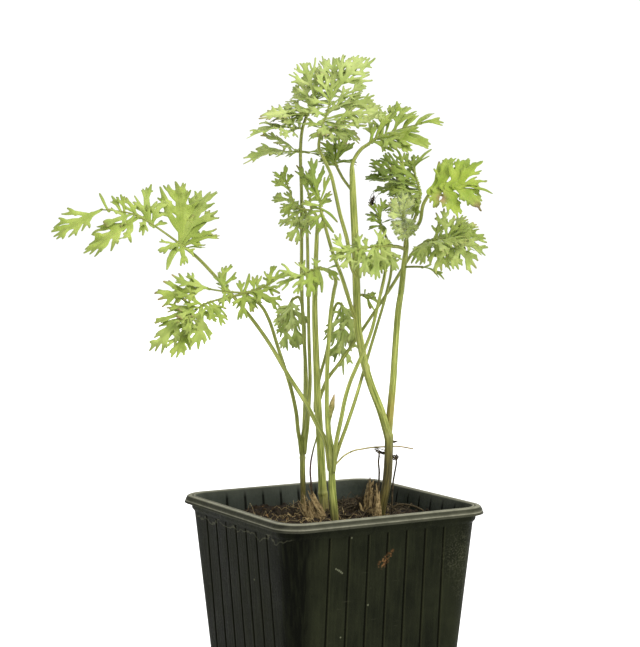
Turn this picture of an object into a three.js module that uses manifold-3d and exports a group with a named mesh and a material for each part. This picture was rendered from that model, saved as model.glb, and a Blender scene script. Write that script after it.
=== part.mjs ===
// A potted mugwort: a square nursery pot with peat and a young plant of four stems.
// Millimetres, +Z up, the origin at the middle of the pot's underside.
import * as THREE from "three";
import { mergeVertices } from "three/addons/utils/BufferGeometryUtils.js";
import Module from "manifold-3d";

const wasm = await Module();
wasm.setup();

// Pot: a thin injection-moulded square pot, 9 cm across its rim.
const POT_HEIGHT = 95;
const RIM_HALF = 45;
const RIM_TOP_HALF = 44.3;
const RIM_SKIRT = 3.1;
const RIM_INNER_HALF = 41.2;
const COLLAR_HALF = 42.6;
const WALL_TOP_HALF = 41.5;
const WALL_TOP_Z = 88.7;
const WALL_SLOPE = 0.085;
const WALL = 1.2;
const FLOOR = 1.6;
const FOOT_CHAMFER = 1.2;
const EDGE_EASE = 0.6;
const BEAD = 0.4;
const CORNER_RADIUS = 8;
const RIM_CORNER_RADIUS = 10;
const CORNER_STEPS = 3;
const GROOVES_PER_FACE = 7;
const GROOVE_SPACING = 8.2;
const GROOVE_DEPTH = 0.6;
const GROOVE_HALF_WIDTH = 0.6;
const GROOVE_FOOT_Z = 7;
const GROOVE_HEAD_Z = 88;
const DRAIN_RADIUS = 4;
const DRAIN_OFFSET = 19;
const DRAIN_SIDES = 12;
const POT_COLOR = 0x23251c;
const POT_ROUGHNESS = 0.45;

// Soil: peat up to about 8 mm under the rim, heaped round the stems.
const SOIL_LEVEL = 86;
const SOIL_HEAP = 2.6;
const SOIL_HEAP_WIDTH = 26;
const SOIL_RINGS = 5;
const SOIL_INSET = 0.05;
const SOIL_EDGE_DROP = 2.4;
const SOIL_EDGE_ROUND = 0.4;
const CLOD_HEIGHT = 0.8;
const CLOD_STEPS = [0.41, 0.37];
const RIPPLE_HEIGHT = 0.5;
const RIPPLE_STEPS = [0.6, 0.83];
const CLEARANCE = 0.32;
const SOIL_COLOR = 0x4a3626;
const SOIL_ROUGHNESS = 0.95;

// Plant: its points are written as across, back and up, in a frame turned against the pot.
const PLANT_TURN = THREE.MathUtils.degToRad(-29.9);
const STEM_FOOT_Z = 66;
const BLADE = 0.8;
const FOOT_SUNK = 0.6;
const FOOT_HALF = 0.45;
const STRIP_HALF = 0.55;
const RIB_OVERLAP = 0.4;
const CRACK = 0.3;
const OUTLINE_SLACK = 0.17;
const LEAST_ARCH = 0.04;
const ARCH_SPREAD = 0.06;
const BEND_REACH = 0.5;
const BEND_FALL = 1.5;

// Leaflets: lengths are shares of the leaflet's or the lobe's own length, angles are in degrees.
const RIB_HALF = 0.8;
const LOBE_HALF = 0.75;
const HEAD_HALF = 0.7;
const TWO_POINTS = 4.5;
const THREE_POINTS = 9;
const FIRST_LOBE = 0.24;
const LOBED_SHARE = 0.46;
const LONE_LOBE = 0.4;
const LOW_LOBE_ANGLE = 66;
const LOBE_ANGLE_LOSS = 30;
const LOW_LOBE_REACH = 0.48;
const LOBE_REACH_LOSS = 0.12;
const LOBE_ROOT = 0.3;
const SIDE_END = 0.1;
const FAR_SIDE_SHIFT = 0.05;
const HEAD_ROOT = 0.68;
const NEAR_TOOTH = { tip: 0.7, out: 0.18, notch: 0.62 };
const FAR_TOOTH = { tip: 0.76, out: 0.14, notch: 0.66 };
const PLAIN_WIDEST = 0.55;
const PLAIN_HALF = 1;

// Stalks.
const TUBE_SIDES = 5;
const STEM_SIDES = 8;
const SHEATH_FACE = [0.2, -1, 0];
const SHEATH_LIFT = 2;
const SHEATH_ROOT = 1;
const SHEATH_CORE = 0.8;
const SEED = 7;

const STEM_ROUGHNESS = 0.6;
const LEAF_ROUGHNESS = 0.7;
const DRY_ROUGHNESS = 0.85;
const GREEN = 0x8fae45;
const PALE_GREEN = 0xb4c98a;
const DARK_GREEN = 0x5e7f26;
const STEM_GREEN = 0x93a656;
const STRAW = 0xa08a5c;
const ROOT_BROWN = 0x7a5f48;

// Stems. Each point is across, back, up and the stem's radius there; a ring is three close points.
const STEMS = {
  stem_left: [
    [[-11, 24, STEM_FOOT_Z, 1.1], [-11, 24, 90, 1.1], [-11.3, 22, 103, 1.1], [-11.3, 21.5, 107.2, 1.1],
      [-11.3, 21.4, 108.4, 1.5], [-11.3, 21.2, 109.6, 1.1], [-11.2, 20.5, 117, 1.3]],
  ],
  stem_front: [
    [[1.4, -12, STEM_FOOT_Z, 1.5], [1.4, -12, 88, 1.5], [0.4, -11.5, 100, 1.4], [0.2, -11, 111, 1.4],
      [0.3, -11, 112.5, 1.9], [0, -11, 114, 1.5], [-0.6, -11.5, 118.5, 1.2]],
  ],
  stem_tall: [
    [[-2.6, 5, STEM_FOOT_Z, 1.9], [-2.6, 5, 88, 1.9], [-3, 6, 95.2, 1.8], [-3.2, 6, 96.5, 2.2],
      [-3.3, 6, 97.8, 1.7], [-4, 6, 113, 1.5], [-5.2, 5, 133, 1.4], [-5.6, 4, 145, 1.3],
      [-6.3, 3, 168, 1.1], [-6, 2, 184, 0.9], [-5.3, 0.5, 202, 0.8]],
  ],
  stem_right: [
    [[18.8, 2, STEM_FOOT_Z, 1.7], [19.2, 2, 88, 1.7], [21.7, 2, 102, 1.8], [22.4, 2, 117.8, 1.7],
      [22.3, 2, 119.3, 2.1], [21.8, 2, 120.8, 1.7], [19.2, 1, 129.4, 1.6], [15.5, 0, 139, 1.5],
      [13.6, -1, 145, 1.5], [13.3, -1, 146.4, 1.9], [12.8, -1.4, 147.8, 1.5], [11.8, -2, 153, 1.5],
      [10.3, -3, 161, 1.5], [9.8, -4, 172, 1.5], [9.1, -5, 195, 1.4], [8.3, -5, 211, 1.3],
      [7.9, -4, 224, 1.1]],
    [[22.2, 2, 118.5, 1.3], [22.9, 3, 128, 1.4], [24.1, 4, 141, 1.3], [24.8, 4, 152.5, 1.2],
      [26, 4, 168, 1.2], [27.1, 3, 176, 1.1], [28.2, 2, 187, 1], [29, 1, 193.5, 0.9], [28.6, 0, 199, 0.8]],
  ],
};

// Leaves. A petiole is a tube with its radius at both ends; its blades grow from its end or along it.
// A blade lies about a plane that faces one way, and holds ribs with their leaflets. A leaflet is: how far
// back from the rib's end it grows, its tip (across, back, up) and how many pairs of lobes it has.
const LEAVES = {
  leaf_far_left: {
    petiole: [[-1.2, -10.6, 112.5], [-2.2, -9.5, 119], [-5.2, -8, 124.6], [-10.2, -6, 134],
      [-16, -3, 142.6],
      [-23.8, 1, 155.4], [-31.7, 5, 166], [-44.1, 9, 180], [-52.2, 8, 188.6], [-58, 6, 193.3]],
    radius: [1, 0.6],
    blades: [{
      face: [0.1, -0.7, 0.7],
      branches: [{
        rib: [[-55.5, 6.8, 191.2], [-58, 6, 193.3], [-64.8, 4, 198.4], [-70.6, 3, 202.3], [-75.5, 2, 205],
          [-82.8, 1, 206.5], [-88.5, 0, 206.9]],
        leaflets: [
          [0, -105.5, -7, 196.5, 3], [3, -89.5, 5, 213.5, 0], [8, -85, 6, 212.5, 1],
          [14, -80.5, 7, 211.5, 1],
          [20, -72, 12, 216, 2], [21, -64.5, 10, 210.5, 1], [12, -87, -4, 201, 1], [15, -91.5, -10, 190, 2],
          [17, -72, -3, 197, 1], [34, -61.5, 20, 218.5, 3], [34, -47.5, 20, 214.5, 2],
          [35, -44.5, 13, 206.5, 2],
          [35.5, -43, 5, 197, 2], [33, -65.5, -4, 190.5, 1], [34, -62.5, -8, 184, 0],
          [34.5, -56, -4, 186, 1],
        ],
      }],
    }],
  },
  leaf_low_left: {
    petiole: [[-12.3, 20.2, 114.5], [-13.1, 18.8, 120], [-13.7, 17.4, 126.5], [-15.6, 15, 136],
      [-18.2, 12, 145], [-20.9, 8, 154], [-23.9, 4, 164], [-27, 0.5, 170], [-33.1, -4, 174.8]],
    radius: [0.9, 0.6],
    blades: [{
      face: [0, -0.7, 0.7],
      branches: [
        {
          rib: [[-31, -2.5, 173.2], [-33.1, -4, 174.8], [-40, -5, 175.6], [-47, -6, 176.8],
            [-51.7, -6, 178.4]],
          leaflets: [
            [0, -55, -3, 183, 1], [4, -66, -9, 172.6, 2], [11, -40.5, 3, 185.5, 1], [12, -43.5, 1, 183, 0],
            [18, -35.4, 0, 180, 1], [18.5, -31.5, 2, 182.5, 0], [12, -41, -10, 169.5, 1],
            [19, -34.2, -12, 165.5, 1], [20, -29.5, -9, 168, 1],
          ],
        },
        {
          rib: [[-33.1, -4, 174.8], [-43.2, -7, 172.6], [-48.9, -8.5, 170.6], [-54, -10, 167]],
          leaflets: [
            [5, -62.5, -11, 169.7, 1], [2, -66.5, -14, 164, 1], [0, -66, -19, 153.8, 2],
            [0.5, -57.8, -21, 151.5, 2], [6, -49.8, -19, 154.5, 2], [9, -40, -12, 163.5, 1],
          ],
        },
        {
          rib: [[-33.1, -4, 174.8], [-27, -3, 177], [-22, -1, 179.6]],
          leaflets: [
            [2, -22, 4, 185.5, 1], [1, -17.8, 2, 183, 1], [0, -14.6, 0, 182, 0], [7, -28.5, 2, 182, 1],
            [4, -19.5, -7, 175, 1], [9, -19.5, -10, 170.5, 2],
          ],
        },
      ],
    }],
  },
  leaf_top_left: {
    petiole: [[-11.2, 20.9, 116.8], [-10.6, 21, 120.5], [-9.6, 20.6, 127.4], [-9.8, 20, 139.4],
      [-10.6, 20, 155.3],
      [-11.5, 16, 175.4], [-11.5, 14, 211], [-11.9, 12, 230.7], [-11.1, 10, 238.5], [-9.1, 8, 244.2]],
    radius: [0.9, 0.6],
    blades: [
      {
        face: [0, -0.6, 0.8],
        branches: [{
          rib: [[-10, 9, 241.5], [-9.1, 8, 244.2], [-6.7, 7, 250]],
          leaflets: [
            [0, -12.2, 16, 264.5, 3], [1, -6.2, 20, 263.5, 2], [5, -19, 12, 247, 2], [3, -15, 14, 255, 1],
          ],
        }],
      },
      {
        face: [0.15, -0.25, 1],
        branches: [{
          rib: [[-9.1, 8, 244.2], [-12, 6, 243.8]],
          leaflets: [[0, -27.7, -2, 241.5, 3], [1, -18, 14, 246, 1]],
        }],
      },
      {
        face: [0.2, -0.2, 1],
        branches: [{
          rib: [[-11.1, 10, 238.5], [-14, 8, 238.6]],
          leaflets: [[0, -32.3, -3, 234, 3], [1, -19.5, -4, 235, 1]],
        }],
      },
      {
        face: [0.15, -0.3, 1],
        branches: [{
          rib: [[-8.5, 13.5, 229.3], [-11.9, 12, 229.7], [-15, 10.5, 229.4]],
          leaflets: [[0, -33.8, 1, 224.4, 3], [6, 2, 16, 228, 2], [3, -22, 21, 228, 1]],
        }],
      },
    ],
  },
  leaf_top_right: {
    petiole: [[9.6, -4.6, 180], [7.4, -8.5, 186], [5.9, -11, 195.3], [3.2, -12, 205], [1.3, -11, 213.6],
      [-0.2, -9, 220], [-2.9, -6, 226], [-4.8, -3, 230.8], [-3.6, -1, 238]],
    radius: [0.9, 0.6],
    blades: [{
      face: [0, -0.7, 0.7],
      branches: [{
        rib: [[-4.2, -2, 234.5], [-3.6, -1, 238], [-1.3, 3, 245], [-0.1, 6, 251]],
        leaflets: [
          [0, 1, 19, 267, 3], [2, -3.4, 15, 261, 1], [1, 14, 13, 266.5, 3], [2, 8, 15, 264, 1],
          [5, 13, 2, 254.5, 1], [7, 17, -3, 247, 3], [11, 21.4, -6, 243.4, 2],
          [14, 13.5, -9, 238.5, 2], [13, -1.8, -8, 234.5, 1], [9, -8.4, -3, 243.5, 1],
        ],
      }],
    }],
  },
  leaf_mid_left: {
    petiole: [[-10, 19.4, 114.8], [-9.3, 18, 121], [-8.6, 16, 131.8], [-8.2, 14.5, 139.7],
      [-8.6, 13, 155.6], [-8.9, 12.5, 175.4], [-9.2, 12, 195], [-9.6, 11, 205.4]],
    radius: [0.9, 0.6],
    blades: [{
      face: [0.1, -0.75, 0.6],
      branches: [{
        rib: [[-9.5, 11, 203], [-9.6, 11, 205.4], [-11.5, 11.5, 208.5]],
        leaflets: [
          [0, -19.8, 12, 207, 2], [1, -23, 16, 212.2, 3], [3, -15.4, 3, 194.7, 3], [2, -20, 6, 200.5, 1],
          [3.5, -7.6, 6, 199.5, 1],
        ],
      }],
    }],
  },
  leaf_mid_upper: {
    petiole: [[-5.3, 0.5, 202.6], [-6, 1, 205], [-7.6, 1.5, 206.5]],
    radius: [0.6, 0.55],
    blades: [{
      face: [0.1, -0.75, 0.6],
      branches: [
        {
          rib: [[-6.4, 1.1, 205.6], [-7.6, 1.5, 206.5], [-13.5, 3, 208], [-16, 5, 214], [-17.8, 8, 219]],
          leaflets: [
            [0, -17.6, 8, 224.5, 2], [1, -22.8, 6, 221.7, 1], [4, -23.2, 5, 218, 1], [10, -18.5, 1, 204, 1],
          ],
        },
        {
          rib: [[-7.6, 1.5, 206.5], [-8.4, 4, 211.5], [-9.5, 7, 216]],
          leaflets: [[0, -13.4, 8, 224.4, 2], [1, -8.7, 8, 222.5, 2], [5, -4, 8, 214.5, 1]],
        },
      ],
    }],
  },
  leaf_mid_dark: {
    petiole: [[10.1, -3.2, 163], [8, -5.7, 168.5], [5.6, -8, 176.2], [3.7, -9.5, 182], [0.4, -13.3, 190.7],
      [-2, -14, 199], [-3.9, -13.5, 206]],
    radius: [0.9, 0.6],
    blades: [{
      face: [0, -0.8, 0.6],
      branches: [{
        rib: [[-3.3, -13.7, 203.5], [-3.9, -13.5, 206], [-4.4, -12, 211]],
        leaflets: [
          [0, -7.6, -10, 226.5, 3], [1, -0.6, -15, 220.5, 2], [4, 2.4, -15, 202, 0],
          [6, 0.8, -18.5, 198, 0],
          [6, -8, -18.5, 199, 1], [3, -11.5, -13, 209, 1],
        ],
      }],
    }],
  },
  leaf_hang_left: {
    petiole: [[-11, 22.2, 114.5], [-10.8, 23.6, 120], [-10.4, 25.5, 131], [-10.4, 27, 151],
      [-10.9, 27, 165], [-12.9, 26.5, 172.3], [-15.7, 26, 171.1]],
    radius: [0.8, 0.55],
    blades: [{
      face: [-0.5, -0.8, 0.2],
      branches: [{
        rib: [[-14.3, 26.3, 171.9], [-15.7, 26, 171.1], [-16.5, 27, 168]],
        leaflets: [
          [1, -22.6, 26, 160.5, 1], [0, -20.3, 28, 156, 2], [0.5, -17.4, 27, 150.6, 2],
          [2, -12.6, 27, 151, 2],
        ],
      }],
    }],
  },
  leaf_hang_right: {
    petiole: [[-6.2, 6.2, 133], [-4.6, 9.6, 141], [-1.6, 12, 152], [0.4, 14, 165], [2.6, 14.5, 170.4],
      [4.4, 14.5, 169.8]],
    radius: [0.7, 0.55],
    blades: [{
      face: [0.3, -0.9, 0.2],
      branches: [{
        rib: [[3.4, 14.5, 170.3], [4.4, 14.5, 169.8], [5.4, 14.5, 167]],
        leaflets: [[0, 8.4, 12, 153.4, 2], [0.5, 5, 14, 142, 2], [2, 1.2, 14, 147, 1],
          [2.5, 9.6, 17, 164, 1]],
      }],
    }],
  },
  leaf_small_back: {
    petiole: [[9.7, -4, 173], [12, 1, 174.2], [13.5, 3, 173.6]],
    radius: [0.55, 0.5],
    blades: [{
      face: [0, -0.5, 0.9],
      branches: [{
        rib: [[12.6, 2, 174], [13.5, 3, 173.6], [14.2, 3.4, 173]],
        leaflets: [[0, 18.6, 6, 171.4, 1], [1, 16.4, -1, 168.4, 0], [1.5, 13.6, 9, 176, 0]],
      }],
    }],
  },
  leaf_right_upper: {
    petiole: [[7.9, -4, 223.5], [9, -3.4, 226.5], [11.5, -2, 230], [14.2, -1, 231.9]],
    radius: [0.85, 0.65],
    blades: [{
      face: [-0.1, -0.7, 0.7],
      branches: [{
        rib: [[12.8, -1.4, 231], [14.2, -1, 231.9], [16.9, 0, 233.8], [22.8, 2, 236.4], [28.7, 3, 238.4],
          [34.6, 4, 240]],
        leaflets: [
          [0, 43.4, 4, 240.4, 1], [2, 40, 9, 244.4, 0], [11, 29.6, 12, 247.4, 1], [15, 25, 12, 248, 1],
          [18, 21, 12, 243.4, 2], [7, 34, 9, 243.6, 0], [10, 33.8, -1, 236.6, 0], [13, 36, -4, 233.6, 0],
          [17, 37, -8, 230.8, 1], [19, 30.2, -9, 228.8, 2], [20.5, 23.6, -9, 228.6, 1],
          [21, 14.5, 8, 241, 1],
        ],
      }],
    }],
  },
  leaf_centre_dark: {
    petiole: [[8.2, -5, 213], [4.4, 1, 219], [1.4, 5, 225]],
    radius: [0.6, 0.55],
    blades: [{
      face: [0.1, -0.6, 0.8],
      branches: [{
        rib: [[2, 4.2, 223.8], [1.4, 5, 225], [1.8, 7, 227.5]],
        leaflets: [
          [1, -4.2, 8, 233.2, 1], [0, 1.4, 14, 236.6, 1], [3, -5, 4, 225.4, 1], [1, 7.4, 14, 237.6, 2],
        ],
      }],
    }],
  },
  leaf_right_dark: {
    petiole: [[28.8, 0.8, 196], [31, 4.5, 200.5], [32.9, 6, 205], [34.6, 9, 213]],
    radius: [0.75, 0.6],
    blades: [{
      face: [0, -0.7, 0.7],
      branches: [{
        rib: [[34, 8, 210], [34.6, 9, 213], [33.2, 11, 219], [32, 13, 224.4]],
        leaflets: [
          [0, 39.6, 17, 231, 0], [1, 38.6, 14, 228.2, 0], [3, 28.6, 18, 229, 1], [6, 19.2, 17, 227.4, 2],
          [8, 14.6, 12, 224, 1], [10, 13, 8, 218.8, 2], [12, 23, 4, 213.4, 2], [13, 24.5, 0, 208.6, 1],
        ],
      }],
    }],
  },
  leaf_right_bright: {
    petiole: [[28.9, 0.6, 196], [31.6, -3, 199], [33.7, -6, 202.5], [34.7, -9.5, 208.7],
      [37.4, -12, 213.6]],
    radius: [0.8, 0.65],
    blades: [{
      face: [-0.1, -0.6, 0.8],
      branches: [{
        rib: [[36, -10.8, 211.2], [37.4, -12, 213.6], [42.9, -15, 215.2], [48.4, -17, 215.8]],
        leaflets: [
          [11.5, 41.2, -3, 225.4, 0], [9, 45.8, -3, 226.8, 2], [4, 52.2, -6, 226.4, 3],
          [1, 56.4, -11, 225.2, 2],
          [0, 58, -19, 217.4, 1], [0.5, 59.6, -23, 212.6, 0], [2, 55, -27, 206, 1],
          [6, 46.4, -27, 203.8, 2],
          [10, 38.8, -22, 207.4, 1],
        ],
      }],
    }],
  },
  leaf_right_low: {
    petiole: [[-5, 5.1, 131], [-1.7, 8, 140.5], [3.5, 10, 147.4], [9.4, 11, 155.9], [15.3, 11, 164.6],
      [23.9, 10, 177.6], [29.5, 8, 187], [32.8, 2, 192], [37.1, -5, 195]],
    radius: [0.8, 0.6],
    blades: [{
      face: [-0.1, -0.7, 0.7],
      branches: [{
        rib: [[36, -3.4, 194.3], [37.1, -5, 195], [42.3, -8, 195.7], [47.1, -10, 196.1]],
        leaflets: [
          [2, 50.4, -1, 205, 2], [8, 42.4, -1, 203.8, 1], [0.5, 55.4, -5, 201.4, 2],
          [0, 58.4, -11, 195.8, 2],
          [0.5, 57.8, -15.5, 189.6, 2], [2.5, 54, -19, 184.8, 2], [5, 47.4, -19, 184.4, 2],
          [9, 41.2, -16, 183.8, 2], [11.5, 33.4, -12, 186, 1],
        ],
      }],
    }],
  },
  leaf_centre: {
    petiole: [[28.6, 1.4, 191], [26, -3.5, 192.6], [22.4, -8, 193]],
    radius: [0.8, 0.65],
    blades: [{
      face: [0, -0.75, 0.65],
      branches: [{
        rib: [[24.4, -5.5, 192.9], [22.4, -8, 193], [15.3, -14, 192.7], [8.8, -18.5, 191.6],
          [4.2, -20.5, 191.4]],
        leaflets: [
          [0, -0.8, -24, 187.4, 1], [1, 1, -17, 197.6, 1], [7, 9.6, -12, 198, 1], [17, 19, -5, 199.4, 1],
          [3, 4.2, -27, 184.8, 1], [8, 12, -25, 182, 2], [13, 16.4, -22, 180.6, 1], [17, 20, -18, 184.4, 1],
          [20, 24.4, -14, 183.8, 2],
        ],
      }],
    }],
  },
  leaf_mid_low: {
    petiole: [[-0.6, -11.5, 117], [-1.4, -12, 123.3], [-1.7, -12, 142.3], [-1, -12.5, 157.4],
      [-0.2, -13, 168.8],
      [1, -13.8, 176.4], [1.6, -14.8, 180.2], [-0.4, -16.5, 183.7], [-4.4, -17.5, 184.8]],
    radius: [0.95, 0.6],
    blades: [{
      face: [0, -0.6, 0.8],
      branches: [{
        rib: [[-2.4, -17, 184.4], [-4.4, -17.5, 184.8], [-8.9, -18, 183.3], [-12.7, -18, 181.4]],
        leaflets: [
          [0, -21, -19, 177.2, 1], [2, -12.5, -26, 175.4, 1], [6, -8, -26, 174.4, 1],
          [8, -3.6, -24, 176, 0],
          [9.5, 3, -21, 180.4, 1], [4, -12.4, -11, 187, 1], [8, -6, -12, 188.6, 1],
        ],
      }],
    }],
  },
  leaf_under_centre: {
    petiole: [[1.2, -13, 112], [1.7, -13, 118], [3.8, -13.5, 128.4], [5.1, -13.5, 135.1], [7, -13, 141.5],
      [10, -12, 148.5], [12, -11.5, 152.8], [15.2, -11, 161.1], [17.6, -10.5, 170.8], [20, -9, 181],
      [20.6, -7.6, 184.5]],
    radius: [0.9, 0.6],
    blades: [{
      face: [0, -0.9, 0.4],
      branches: [{
        rib: [[20.4, -8.2, 182.8], [20.6, -7.6, 184.5], [20.6, -7, 186]],
        leaflets: [[0, 20.4, -5.4, 193, 1], [1, 16.2, -6.4, 187.4, 1], [1.4, 25, -5.4, 189, 1]],
      }],
    }],
  },
  leaf_dark_small: {
    petiole: [[1.6, -10.6, 112], [2.8, -10.6, 116.4], [5.8, -9, 124.6], [8.4, -6, 131.8], [10.6, -2, 138.3],
      [12.2, 2, 143.2], [14.7, 4, 151.6], [17.3, 5, 160.2], [21.6, 4, 175.5], [23.2, 1, 185.2],
      [21.5, -1, 195], [18.8, -1, 201]],
    radius: [0.8, 0.5],
    blades: [{
      face: [0.2, -0.7, 0.7],
      branches: [{
        rib: [[19.1, -1.2, 199], [18.8, -1, 201], [18.4, 0, 204.6]],
        leaflets: [[0, 14.4, 4, 210, 1], [2, 13.4, -3, 203, 1], [0.5, 21.4, 5, 211, 1],
          [3, 24, -2, 203.4, 1]],
      }],
    }],
  },
  shoot_tip: {
    petiole: [[28.6, 0, 198.6], [28, -3, 201], [27.4, -4.5, 205]],
    radius: [0.8, 0.7],
    blades: [{
      face: [0, -0.9, 0.4],
      branches: [{
        rib: [[27.8, -3.5, 202.5], [27.4, -4.5, 205], [27.2, -4.5, 206.5]],
        leaflets: [
          [0, 22.4, -3, 211.4, 1], [0, 27, -2, 214, 1], [0, 31.6, -4, 210.8, 1], [2, 21.4, -7, 204.6, 1],
          [3, 30.8, -10, 202, 1], [4, 24, -9, 197.4, 1],
        ],
      }],
    }],
  },
  leaflet_low_right: {
    petiole: [[28.4, 2, 184.5], [31, -0.5, 185], [35, -3, 185]],
    radius: [0.45, 0.42],
    blades: [{
      face: [0, -0.5, 0.85],
      branches: [{
        rib: [[33.6, -2.2, 185], [35, -3, 185], [36, -3.5, 184.8]],
        leaflets: [[0, 43, -7, 180.4, 1], [1, 38.6, 1, 186, 0]],
      }],
    }],
  },
};

// Dry pieces: thin stalks and roots, each a list of points with one radius.
const DRY_STALKS = {
  petiole_stub: { radius: [0.8, 0.4], color: STRAW,
    route: [[0.6, -9.2, 115.4], [-0.6, -8, 121.5], [-0.9, -7.8, 127], [0.2, -7.8, 132.3], [1.2, -8, 136.8]] },
  dry_root_arched: { radius: [0.5, 0.4], color: ROOT_BROWN,
    route: [[1.3, -11, 109.8], [4.6, -8, 112.8], [8.1, -5, 114.4], [11.6, -1, 114.7], [17, 4, 114.8],
      [20.9, 6.5, 114.6], [25.8, 7.5, 114.7], [32.1, 8, 113.7]] },
  dry_twig_left: { radius: [0.5, 0.4], color: ROOT_BROWN,
    route: [[-6.4, -4, 84], [-7, -4.5, 95], [-7.7, -5, 101.5], [-8, -5, 107.4], [-7.6, -5, 111.5],
      [-6.8, -5, 115.3], [-5.4, -5, 120.2]] },
  dry_twig_right: { radius: [0.5, 0.4], color: ROOT_BROWN,
    route: [[17.2, -2, 84], [18, -2.6, 97], [18.5, -2.6, 105.2], [18.2, -2.4, 110], [18.4, -2.2, 113.5],
      [17.2, -2.4, 114.6]] },
  dry_twig_hooked: { radius: [0.45, 0.4], color: ROOT_BROWN,
    route: [[23.4, -1.4, 84], [23.6, -1.8, 97], [24, -2, 102.5], [25.1, -2.4, 110], [24.6, -2.4, 112.4]] },
  dry_runner: { radius: [0.5, 0.45], color: ROOT_BROWN,
    route: [[21.6, -3.4, 84], [22.4, -3.6, 91], [25.5, -4.2, 93.4], [28.7, -5, 93.8], [32.2, -6.4, 93.2],
      [34.9, -7.4, 92], [37.2, -8, 90], [38.4, -8.4, 84.5]] },
};

// Dry sheaths: straw-coloured blades that stand round the foot of a stem, just over the soil.
// A blade is its foot (across, back) and its tip (across, back, up).
const SHEATHS = {
  dry_sheath_left: [
    [-1.6, -8.6, -8.6, -3.4, 101.5], [-3.2, -8.4, -7.2, -5.6, 97], [-4.8, -7.6, -9.8, -3.8, 96.5],
    [-6.4, -7, -7.6, -6.4, 98], [-8, -6.2, -11.8, -5, 94.8], [-9.4, -5.2, -10.6, -3, 97.5],
  ],
  dry_sheath_right: [
    [15.4, -1.4, 16.4, -0.6, 103], [16.6, -3.6, 17.4, -3.4, 102], [14.4, 0, 13.4, 1, 98],
    [18, -4.4, 18.6, -4.6, 99], [13.4, 1.4, 15.2, 2, 103.5],
  ],
};

let seedState = SEED;

// A repeatable draw between 0 and 1.
function draw() {
  seedState = (seedState * 1664525 + 1013904223) % 4294967296;
  return seedState / 4294967296;
}

// A point of the plant in the pot's frame.
function place(across, back, up) {
  const turned = new THREE.Vector3(across, back, up);
  return turned.applyAxisAngle(new THREE.Vector3(0, 0, 1), PLANT_TURN);
}

function solidOf(geometry) {
  const bare = new THREE.BufferGeometry();
  bare.setAttribute("position", geometry.getAttribute("position"));
  bare.setIndex(geometry.getIndex());
  const merged = mergeVertices(bare, 1e-4);
  return new wasm.Manifold(
    new wasm.Mesh({
      numProp: 3,
      vertProperties: new Float32Array(merged.attributes.position.array),
      triVerts: new Uint32Array(merged.index.array),
    }),
  );
}

function geometryOf(solid) {
  const mesh = solid.getMesh();
  const geometry = new THREE.BufferGeometry();
  geometry.setAttribute("position", new THREE.BufferAttribute(mesh.vertProperties, 3));
  geometry.setIndex(new THREE.BufferAttribute(mesh.triVerts, 1));
  geometry.computeVertexNormals();
  return geometry;
}

function joined(solids) {
  return solids.reduce((whole, solid) => whole.add(solid));
}

// The largest body of a solid: a cut can leave scraps.
function largestBody(solid) {
  const bodies = solid.decompose();
  return bodies.reduce((best, body) => (body.volume() > best.volume() ? body : best));
}

function named(name, solid, color, roughness) {
  const material = new THREE.MeshStandardMaterial({ color, roughness, metalness: 0 });
  const mesh = new THREE.Mesh(geometryOf(solid), material);
  mesh.name = name;
  return mesh;
}

// Moves every vertex of a geometry to where rule(x, y, z) puts it.
function reshaped(geometry, rule) {
  const position = geometry.getAttribute("position");
  for (let i = 0; i < position.count; i += 1) {
    const moved = rule(position.getX(i), position.getY(i), position.getZ(i));
    position.setXYZ(i, moved.x, moved.y, moved.z);
  }
  return geometry;
}

// Tubes: a polygon swept through points that carry their own radius.
function tube(points, radii, sides, stepsPerSpan) {
  const placed = points.map(([across, back, up]) => place(across, back, up));
  const curve = new THREE.CatmullRomCurve3(placed, false, "centripetal");
  const spans = points.length - 1;
  const steps = spans * stepsPerSpan;
  const frames = frameList(curve, steps);
  const section = new THREE.Shape();
  for (let i = 0; i < sides; i += 1) {
    const turn = (i / sides) * 2 * Math.PI;
    if (i === 0) section.moveTo(Math.cos(turn), Math.sin(turn));
    else section.lineTo(Math.cos(turn), Math.sin(turn));
  }
  const straight = new THREE.ExtrudeGeometry(section, { depth: 1, steps, bevelEnabled: false });
  const bent = reshaped(straight, (x, y, z) => {
    const at = Math.round(z * steps);
    const span = Math.min(Math.floor(at / stepsPerSpan), spans - 1);
    const radius = THREE.MathUtils.lerp(radii[span], radii[span + 1], at / stepsPerSpan - span);
    return frames[at].centre
      .clone()
      .addScaledVector(frames[at].side, x * radius)
      .addScaledVector(frames[at].up, y * radius);
  });
  return solidOf(bent);
}

// Cross-section frames along a curve, each turned as little as possible from the one before.
function frameList(curve, steps) {
  const frames = [];
  let side = new THREE.Vector3(1, 0, 0);
  for (let i = 0; i <= steps; i += 1) {
    const t = i / steps;
    const forward = curve.getTangent(t);
    side = side.clone().addScaledVector(forward, -side.dot(forward)).normalize();
    frames.push({ centre: curve.getPoint(t), side, up: new THREE.Vector3().crossVectors(forward, side) });
  }
  return frames;
}

function evenRadii(count, first, last) {
  return Array.from({ length: count }, (_, i) => THREE.MathUtils.lerp(first, last, i / (count - 1)));
}

// One lobe of a leaflet with 1 to 3 points, from its side near the leaflet's foot to its far side.
function lobe(root, angle, length, halfWidth, points, mirror) {
  const at = (along, out) => [
    root + Math.cos(angle) * along - Math.sin(angle) * out,
    mirror * (Math.sin(angle) * along + Math.cos(angle) * out),
  ];
  const outline = [at(length, 0)];
  if (points > 1) {
    const { tip, out, notch } = NEAR_TOOTH;
    outline.unshift(at(tip * length, halfWidth + out * length), at(notch * length, halfWidth));
  }
  if (points > 2) {
    const { tip, out, notch } = FAR_TOOTH;
    outline.push(at(notch * length, -halfWidth), at(tip * length, -halfWidth - out * length));
  }
  return outline;
}

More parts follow.
